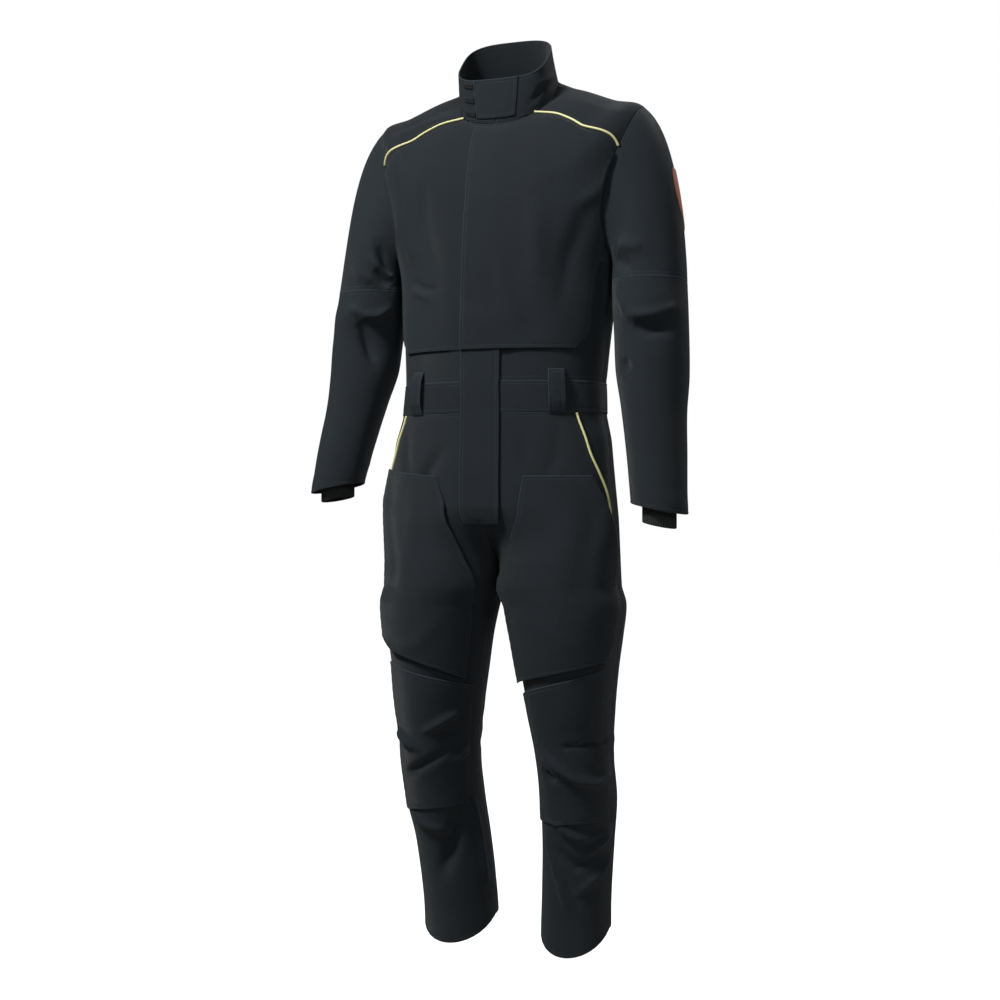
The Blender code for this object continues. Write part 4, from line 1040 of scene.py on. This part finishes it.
def loop_place(angle):
    def place(u, v):
        drop = mix(-WAISTBAND_HEIGHT - above, 0.002, v)
        around = angle + span * (2.0 * u - 1.0)
        if drop < -WAISTBAND_HEIGHT:
            ring = ring_at_drop(around, BAND_DROP + drop)
            return torso_point(around, ring)
        return waist_point(around, drop)

    return place


LOOP_ANGLES = {"front_left": 42, "back_left": 128, "back": 180, "back_right": 232,
               "front_right": 319}
for name, angle in LOOP_ANGLES.items():
    drape("belt_loop_" + name, loop_place(angle), lines(14, BELT_LOOP_WIDTH),
          lines(26, BELT_LOOP_HEIGHT), loop_low, CLOTH, TORSO_HEART, TWILL,
          soft=0.0)

# Placket
# A flap of doubled twill that hides the fastener below the chest panels. It starts under
# their edges, ends above the fork, and is stitched round.
PLACKET_LENGTH = 0.300
PLACKET_TUCK = 0.014
PLACKET_LOW = LAY_GAP + OVERLAP_STEP
placket_half = math.degrees(math.asin((PLACKET_HALF_WIDTH / WAIST_HALF_WIDTH)
                                      ** (1 / ROUNDNESS)))


def placket_place(u, v):
    drop = CHEST_PANEL_LENGTH - PLACKET_TUCK + PLACKET_LENGTH * v
    angle = mix(-placket_half, placket_half, u)
    if drop < BODICE_LENGTH:
        return torso_point(angle, ring_at_drop(angle, drop))
    below = drop - BAND_DROP
    wide = WAIST_HALF_WIDTH / hip_ring(max(below, 0.0))[0]
    return waist_point(angle * wide, below)


drape("front_placket", placket_place, lines(26, 2 * PLACKET_HALF_WIDTH),
      lines(80, PLACKET_LENGTH), PLACKET_LOW, FLAP_CLOTH, TORSO_HEART,
      TWILL, soft=0.5)

# Leg panels
# Pocket mouths edged with pale piping, loose twill panels sewn along their tops over the
# thighs, and second layers stitched all round over the knees, creased with the legs.
THIGH_PANEL_TOP = 0.660
THIGH_PANEL_LENGTH = 0.338
KNEE_PATCH_TOP = 1.012
KNEE_PATCH_LENGTH = 0.198
FLAP_STAND = 0.0110
PATCH_GAP = 0.0022
POCKET_MOUTH = (
    # side share, drop below the waistband as a share of the rise
    (0.625, 0.005),
    (0.665, 0.130),
    (0.710, 0.240),
    (0.790, 0.345),
    (0.875, 0.460),
    (0.905, 0.580),
)
THIGH_PANEL_ROWS = {
    "left": (
        # share of the length, inner side share, outer side share, rise of the outer edge,
        # how far the outer edge stands away
        (0.00, 0.220, 0.700, 0.00, 0.35),
        (0.13, 0.190, 0.800, 0.00, 0.90),
        (0.27, 0.190, 0.895, 0.00, 0.70),
        (0.43, 0.262, 0.935, 0.02, 0.35),
        (0.57, 0.212, 0.920, 0.04, 0.15),
        (0.73, 0.160, 0.900, 0.06, 0.15),
        (0.88, 0.150, 0.890, 0.08, 0.20),
        (1.02, 0.150, 0.840, 0.125, 0.25),
    ),
    "right": (
        # share of the length, inner side share, outer side share, rise of the outer edge,
        # how far the outer edge stands away
        (0.00, 0.240, 0.840, 0.04, 0.35),
        (0.14, 0.172, 0.845, 0.02, 0.80),
        (0.28, 0.185, 0.835, 0.00, 0.40),
        (0.42, 0.238, 0.825, 0.00, 0.20),
        (0.56, 0.228, 0.800, 0.00, 0.20),
        (0.72, 0.192, 0.790, 0.02, 0.30),
        (0.87, 0.198, 0.790, 0.07, 0.35),
        (1.00, 0.205, 0.680, 0.14, 0.30),
    ),
}
KNEE_PATCH_ROWS = {
    "left": (
        # share of the length, inner side share, outer side share, rise of the outer edge
        (0.09, 0.045, 0.865, 0.27),
        (0.32, 0.035, 0.860, 0.15),
        (0.65, 0.035, 0.880, 0.03),
        (1.15, 0.040, 0.885, 0.05),
    ),
    "right": (
        # share of the length, inner side share, outer side share, rise of the outer edge
        (0.01, 0.120, 0.770, 0.20),
        (0.25, 0.115, 0.785, 0.10),
        (0.60, 0.130, 0.780, 0.00),
        (1.03, 0.170, 0.780, -0.08),
    ),
}


for side in ("left", "right"):
    surface = leg_surface(side, "front")
    path = []
    for k in range(61):
        u, share = spline(POCKET_MOUTH, k / 60 * (len(POCKET_MOUTH) - 1))
        point = surface(u, share * RISE)
        outward = Vector((point.x * 0.8, point.y, 0.0)).normalized()
        path.append(point + outward * (PIPING_RADIUS * 0.7))
    cord_object("pocket_piping_" + side, path, PIPING_RADIUS, PIPING)


def panel_place(side, table, top, length):
    """place(u, v) of a layer on the front of a leg, with straight sides between its rows."""
    surface = leg_surface(side, "front")
    shares = [row[0] for row in table]

    def place(u, v):
        share = mix(shares[0], shares[-1], v)
        inner, outer, rise = (np.interp(share, shares, [row[k] for row in table])
                              for k in (1, 2, 3))
        drop = top + length * (share - rise * u) - BAND_DROP
        return surface(mix(inner, outer, u), drop)

    return place


def thigh_height(side):
    """How high a thigh panel stands: sewn at its top, and loose along its other edges."""
    shares = [row[0] for row in THIGH_PANEL_ROWS[side]]
    stands = [row[4] for row in THIGH_PANEL_ROWS[side]]

    def height(points, u, v):
        free = smooth(0.0, 0.3, v)
        outer = smooth(0.70, 1.0, u) * np.interp(v * shares[-1], shares, stands)
        inner = smooth(0.40, 0.0, u) * free
        lift = SEWN_GAP + (1.9 * FLAP_LIFT - SEWN_GAP) * free
        return lift + FLAP_STAND * (outer + 0.25 * inner)

    return height


THIGH_FOLDS = {
    "left": (
        (leg_line("left", (0.35, -0.30), (0.50, -0.20), (0.62, -0.05)), 0.020, 0.0009),
        (leg_line("left", (0.80, -0.28), (0.70, -0.12), (0.66, 0.05)), 0.018, -0.0010),
        (leg_line("left", (0.30, 0.02), (0.45, 0.10), (0.65, 0.16)), 0.018, 0.0008),
    ),
    "right": (
        (leg_line("right", (0.40, -0.28), (0.48, -0.14), (0.60, 0.02)), 0.018, 0.0009),
        (leg_line("right", (0.72, -0.22), (0.66, -0.05), (0.70, 0.10)), 0.018, -0.0010),
        (leg_line("right", (0.35, 0.08), (0.48, 0.16), (0.62, 0.18)), 0.016, 0.0008),
    ),
}
for side in ("left", "right"):
    mirror = 1.0 if side == "left" else -1.0
    heart = (mirror * 0.10, 0.0)
    place = panel_place(side, THIGH_PANEL_ROWS[side], THIGH_PANEL_TOP, THIGH_PANEL_LENGTH)
    piece = drape("thigh_panel_" + side, place, lines(50, 0.14), lines(100, 0.34),
                  thigh_height(side), FLAP_CLOTH, heart, TWILL,
                  folds=THIGH_FOLDS[side])
    place = panel_place(side, KNEE_PATCH_ROWS[side], KNEE_PATCH_TOP, KNEE_PATCH_LENGTH)
    drape("knee_patch_" + side, place, lines(56, 0.14), lines(70, 0.20), PATCH_GAP,
          FLAP_CLOTH, heart, TWILL, folds=LEG_CREASES[side])

# Sleeves
# Set-in twill sleeves in two lengths, joined by a seam at the elbow. The cloth creases
# inside the elbow, and the hems are turned and stitched.
SLEEVE_LENGTH_RIGHT = 0.635
SLEEVE_LENGTH_LEFT = 0.669
ELBOW_DROP = 0.290
SLEEVE_HALF_WIDTH = 0.0622
SLEEVE_HALF_DEPTH = 0.066
SLEEVE_SPREAD = 0.2905
SLEEVE_REACH = 0.064
SLEEVE_HEM_TILT = 0.20
SLEEVE_ROWS = (
    # share below the elbow seam, middle across, middle forward, half width, half depth
    (0.00, 0.870, -0.10, 1.000, 1.00),
    (0.24, 0.895, 0.10, 0.995, 0.96),
    (0.42, 0.908, 0.22, 0.970, 0.92),
    (0.57, 0.930, 0.42, 0.870, 0.85),
    (0.74, 0.960, 0.66, 0.810, 0.80),
    (0.90, 0.985, 0.88, 0.760, 0.75),
    (1.00, 1.000, 1.00, 0.745, 0.73),
)
SLEEVE_FOLDS = {
    "left": (
        # share below the elbow seam, turn, reach down, reach round, height
        (0.11, 75.0, 0.07, 55.0, 0.0050),
        (0.26, 85.0, 0.08, 45.0, -0.0045),
    ),
    "right": (
        # share below the elbow seam, turn, reach down, reach round, height
        (0.12, 80.0, 0.07, 60.0, 0.0050),
        (0.27, 125.0, 0.10, 40.0, -0.0045),
    ),
}


def sleeve_ring_point(side, turn, share):
    cx, cy, a, b = table_at(SLEEVE_ROWS, share)
    long = SLEEVE_LENGTH_LEFT if side == "left" else SLEEVE_LENGTH_RIGHT
    low = SHOULDER_DROP + ELBOW_DROP
    z = -mix(low, SHOULDER_DROP + long, share)
    c = math.cos(math.radians(turn))
    s = math.sin(math.radians(turn))
    girth = 1.0 + fold_height(SLEEVE_FOLDS[side], share, turn) / SLEEVE_HALF_WIDTH
    across = SLEEVE_HALF_WIDTH * a * c * girth
    tilt = SLEEVE_HEM_TILT * smooth(0.0, 1.0, share)
    return Vector((SLEEVE_SPREAD * cx + across,
                   -SLEEVE_REACH * cy - SLEEVE_HALF_DEPTH * b * s * girth, z - tilt * across))


def armhole_point(turn):
    """A point of the left armhole; turns past 180 run up its back."""
    signed = turn if turn <= 180 else turn - 360
    return torso_point(*armhole_spot(signed))


def sleeve_point(side, turn, place):
    """place runs 0 to 1 over the cap and 1 to 2 down to the hem."""
    if place >= 1:
        return sleeve_ring_point(side, turn, place - 1)
    start = armhole_point(turn)
    end = sleeve_ring_point(side, turn, 0.0)
    below = sleeve_ring_point(side, turn, 0.1) - end
    far = (end - start).length
    c = math.cos(math.radians(turn))
    forward = math.sin(math.radians(turn))
    slope = mix(-0.25, -0.85, smooth(-0.2, 0.6, c))
    out = Vector((1.0, 0.0, slope)).normalized() * far * (0.72 + 0.25 * forward)
    down = below.normalized() * far * 0.9
    s = place
    return (start * (2 * s**3 - 3 * s**2 + 1) + out * (s**3 - 2 * s**2 + s)
            + end * (-2 * s**3 + 3 * s**2) + down * (s**3 - s**2))


def sleeve_surface(side):
    mirror = 1.0 if side == "left" else -1.0

    def surface(turn, along):
        point = sleeve_point(side, turn, along)
        return Vector((mirror * point.x, point.y, point.z))

    return surface


def sleeve_line(side, *spots):
    """A crease on a sleeve: its turn and its place along, 0 to 1 above the elbow seam."""
    surface = sleeve_surface(side)
    return [tuple(surface(turn, along)) for turn, along in spots]


SLEEVE_CREASES = {
    "left": (
        (sleeve_line("left", (112, 1.158), (90, 1.175), (71, 1.171), (32, 1.137)), 0.011,
         0.0036),
        (sleeve_line("left", (104, 1.215), (78, 1.235), (45, 1.225)), 0.013, -0.0048),
        (sleeve_line("left", (124, 1.360), (120, 1.390), (114, 1.420)), 0.012, -0.0030),
        (sleeve_line("left", (130, 1.050), (118, 1.110), (112, 1.160)), 0.008, 0.0030),
        (sleeve_line("left", (120, 0.500), (105, 0.640), (80, 0.760)), 0.014, 0.0030),
        (sleeve_line("left", (130, 0.620), (118, 0.780), (104, 0.900)), 0.012, -0.0030),
    ),
    "right": (
        (sleeve_line("right", (108, 0.420), (126, 0.520), (142, 0.600)), 0.010, -0.0042),
        (sleeve_line("right", (106, 0.620), (128, 0.660), (145, 0.720)), 0.010, 0.0030),
        (sleeve_line("right", (112, 0.690), (128, 0.770), (142, 0.850)), 0.011, -0.0042),
        (sleeve_line("right", (86, 1.095), (108, 1.135), (124, 1.140), (144, 1.095)), 0.009,
         0.0055),
        (sleeve_line("right", (96, 1.160), (114, 1.260), (131, 1.377)), 0.012, -0.0060),
        (sleeve_line("right", (70, 0.760), (90, 0.840), (112, 0.900)), 0.012, 0.0030),
    ),
}
ring = [k / 140 for k in range(140)]
for side in ("left", "right"):
    mirror = 1.0 if side == "left" else -1.0
    surface = sleeve_surface(side)

    def upper(u, v):
        return surface(360.0 * u, v)

    def lower(u, v):
        return surface(360.0 * u, 1.0 + v)

    heart = (mirror * 0.235, 0.0)
    drape("sleeve_upper_" + side, upper, ring, lines(70, 0.26), -CLOTH, CLOTH, heart,
          TWILL, hems="tb", loop=True, folds=SLEEVE_CREASES[side])
    drape("sleeve_lower_" + side, lower, ring, lines(100, 0.36), -CLOTH, CLOTH,
          (mirror * 0.27, -0.03), TWILL, hems="tb", loop=True,
          folds=SLEEVE_CREASES[side])

# Cuffs
# Rib-knit cotton tubes, doubled at their free ends. They are sewn inside the sleeves above
# the hems and narrow to the wrists, so that only their ends show.
CUFF_SHOWS_RIGHT = 0.019
CUFF_SHOWS_LEFT = 0.027
CUFF_LENGTH = 0.075
CUFF_HALF_WIDTH = 0.027
CUFF_HALF_DEPTH = 0.034
CUFF_EASE = 0.0008
KNIT = 0.0024
CUFF_ROWS = (
    # height above the sleeve's hem as a share of the cuff's length, how slim it is
    (1.00, 0.00),
    (0.73, 0.35),
    (0.47, 1.00),
    (0.00, 1.00),
)
KNIT_COLOUR = (0.0085, 0.0095, 0.0105, 1.0)
RIB_COUNT = 44
RIB_SINK = 0.0004
RIB_RISE = 0.0007
KNIT_SHADE = Shade("knit", KNIT_COLOUR, 0.95)
stitches = (KNIT_SHADE.attribute("down") * (2.0 * math.pi / 0.0022)).run("SINE")
KNIT_SHADE.bump(stitches, 0.0003)


def cuff_place(side):
    """place(u, v) of a cuff: v runs from its hidden top inside the sleeve to its free end."""
    shows = CUFF_SHOWS_LEFT if side == "left" else CUFF_SHOWS_RIGHT
    long = SLEEVE_LENGTH_LEFT if side == "left" else SLEEVE_LENGTH_RIGHT
    mirror = 1.0 if side == "left" else -1.0
    rows = [(CUFF_LENGTH * share, slim) for share, slim in CUFF_ROWS] + [(-shows, 1.0)]

    def place(u, v):
        up, slim = spline(rows, v * (len(rows) - 1))
        share = 1.0 - max(up, 0.0) / (long - ELBOW_DROP)
        cx, cy, a, b = table_at(SLEEVE_ROWS, share)
        wide = mix(SLEEVE_HALF_WIDTH * a - CLOTH - CUFF_EASE, CUFF_HALF_WIDTH, slim)
        deep = mix(SLEEVE_HALF_DEPTH * b - CLOTH - CUFF_EASE, CUFF_HALF_DEPTH, slim)
        turn = 2.0 * math.pi * u
        tilt = SLEEVE_HEM_TILT * smooth(0.0, 1.0, share)
        z = -SHOULDER_DROP - long + up - tilt * wide * math.cos(turn)
        return Vector((mirror * (SLEEVE_SPREAD * cx + wide * math.cos(turn)),
                       -SLEEVE_REACH * cy - deep * math.sin(turn), z))

    return place


def rib_wall(points, u, v):
    return KNIT - RIB_SINK + RIB_RISE * np.sin(2.0 * math.pi * RIB_COUNT * u)


fine_ring = [k / (RIB_COUNT * 6) for k in range(RIB_COUNT * 6)]
for side in ("left", "right"):
    mirror = 1.0 if side == "left" else -1.0
    drape("rib_cuff_" + side, cuff_place(side), fine_ring, lines(20, 0.10), -KNIT,
          rib_wall, (mirror * 0.288, -0.06), KNIT_SHADE.material, hems="b", loop=True,
          soft=0.0, stitched=False)

# Arm shield
# A plain shield of smooth tanned leather with a pressed line along its edge, stitched to
# the outside of the left upper sleeve.
LEATHER = 0.0018
ARM_PATCH_WIDTH = 0.074
ARM_PATCH_HEIGHT = 0.102
ARM_PATCH_TOP = 0.150
ARM_PATCH_TURN = 338.0
ARM_PATCH_ROWS = (
    # share of the height, half width as a share of half the width
    (0.00, 0.86),
    (0.10, 0.97),
    (0.30, 1.00),
    (0.55, 0.90),
    (0.78, 0.58),
    (0.93, 0.22),
    (1.00, 0.04),
)
LEATHER_COLOUR = (0.40, 0.14, 0.085, 1.0)


def leather_shade():
    """Smooth tanned leather with fine grain and a darker pressed line along its edge."""
    shade = Shade("leather", LEATHER_COLOUR, 0.52)
    spot = shade.node("ShaderNodeTexCoord", {}, {}, out=3)
    cells = shade.node("ShaderNodeTexVoronoi", {"feature": "DISTANCE_TO_EDGE"},
                       {"Vector": spot, "Scale": 520.0})
    cloud = shade.node("ShaderNodeTexNoise", {}, {"Vector": spot, "Scale": 40.0, "Detail": 4.0})
    tone = shade.blend(cloud, (0.30, 0.095, 0.055, 1.0), (0.47, 0.18, 0.11, 1.0))
    pressed = shade.band(shade.attribute("hem"), 0.0045, 0.0012)
    shade.put(shade.shader.inputs["Base Color"],
              shade.blend(pressed * 0.7, tone, (0.12, 0.035, 0.02, 1.0)))
    shade.bump(cells.run("MINIMUM", 0.08) * 6.0 - pressed, 0.0003)
    return shade.material


def patch_place(u, v):
    drop = ARM_PATCH_TOP + ARM_PATCH_HEIGHT * v
    half = math.degrees(0.5 * ARM_PATCH_WIDTH / SLEEVE_HALF_WIDTH)
    wide = table_at(ARM_PATCH_ROWS, v)[0]
    turn = (ARM_PATCH_TURN + half * wide * (2.0 * u - 1.0)) % 360
    low = 0.0
    high = 2.0
    for _ in range(20):
        middle = 0.5 * (low + high)
        if -sleeve_point("left", turn, middle).z < drop:
            low = middle
        else:
            high = middle
    return sleeve_point("left", turn, 0.5 * (low + high))


drape("arm_patch", patch_place, lines(24, ARM_PATCH_WIDTH),
      lines(34, ARM_PATCH_HEIGHT), SEWN_GAP, LEATHER, (0.235, 0.0),
      leather_shade(), soft=0.0, stitched=False)

# Room
# A plain white floor a little below the garment, three broad soft lamps and a white
# surround, seen by a camera at the photo's place.
FLOOR_Z = -1.56
CAMERA_TURN = math.radians(22.0)
CAMERA_AWAY = 2.8
CAMERA_Z = -0.70
CAMERA_LENS = 59.5
ROOM_LIGHT = 0.10
FLOOR_GLOW = 1.0


def stage_plane(name, size, place, tilt, colour):
    mesh = bpy.data.meshes.new(name)
    half = 0.5 * size
    mesh.from_pydata([(-half, -half, 0), (half, -half, 0), (half, half, 0), (-half, half, 0)],
                     [], [(0, 1, 2, 3)])
    plain = Shade(name, colour, 0.9)
    seen = plain.node("ShaderNodeLightPath", {}, {})
    plain.put(plain.shader.inputs["Emission Color"],
              plain.blend(seen, (0.0, 0.0, 0.0, 1.0), (1.0, 1.0, 1.0, 1.0)))
    plain.put(plain.shader.inputs["Emission Strength"], FLOOR_GLOW)
    mesh.materials.append(plain.material)
    plane = bpy.data.objects.new(name, mesh)
    plane.location = place
    plane.rotation_euler = tilt
    bpy.context.scene.collection.objects.link(plane)


def lamp(name, place, size, power_watts, aim):
    light = bpy.data.lights.new(name, "AREA")
    light.energy = power_watts
    light.shape = "DISK"
    light.size = size
    piece = bpy.data.objects.new(name, light)
    piece.location = place
    piece.rotation_euler = (Vector(aim) - Vector(place)).to_track_quat("-Z", "Y").to_euler()
    bpy.context.scene.collection.objects.link(piece)


stage_plane("floor", 40.0, (0.0, 0.0, FLOOR_Z), (0.0, 0.0, 0.0), (0.30, 0.30, 0.30, 1.0))
lamp("key", (-1.5, -2.4, 2.2), 0.8, 225.0, (0.0, 0.0, -0.45))
lamp("fill", (2.4, -3.0, 0.9), 1.4, 40.0, (0.0, 0.0, -0.6))
lamp("rim", (0.8, 2.2, 2.2), 1.6, 70.0, (0.0, 0.0, -0.4))
world = bpy.data.worlds.new("room")
world.use_nodes = True
background = world.node_tree.nodes["Background"]
background.inputs["Color"].default_value = (1.0, 1.0, 1.0, 1.0)
path_kind = world.node_tree.nodes.new("ShaderNodeLightPath")
strength = world.node_tree.nodes.new("ShaderNodeMapRange")
strength.inputs["To Min"].default_value = ROOM_LIGHT
strength.inputs["To Max"].default_value = 1.0
world.node_tree.links.new(path_kind.outputs["Is Camera Ray"], strength.inputs["Value"])
world.node_tree.links.new(strength.outputs["Result"], background.inputs["Strength"])
bpy.context.scene.world = world
bpy.context.scene.view_settings.view_transform = "Standard"

lens = bpy.data.cameras.new("camera")
lens.lens = CAMERA_LENS
camera = bpy.data.objects.new("camera", lens)
camera.location = (CAMERA_AWAY * math.sin(CAMERA_TURN),
                   -CAMERA_AWAY * math.cos(CAMERA_TURN) - 0.03, CAMERA_Z)
camera.rotation_euler = (math.radians(90.0), 0.0, CAMERA_TURN)
bpy.context.scene.collection.objects.link(camera)
bpy.context.scene.camera = camera
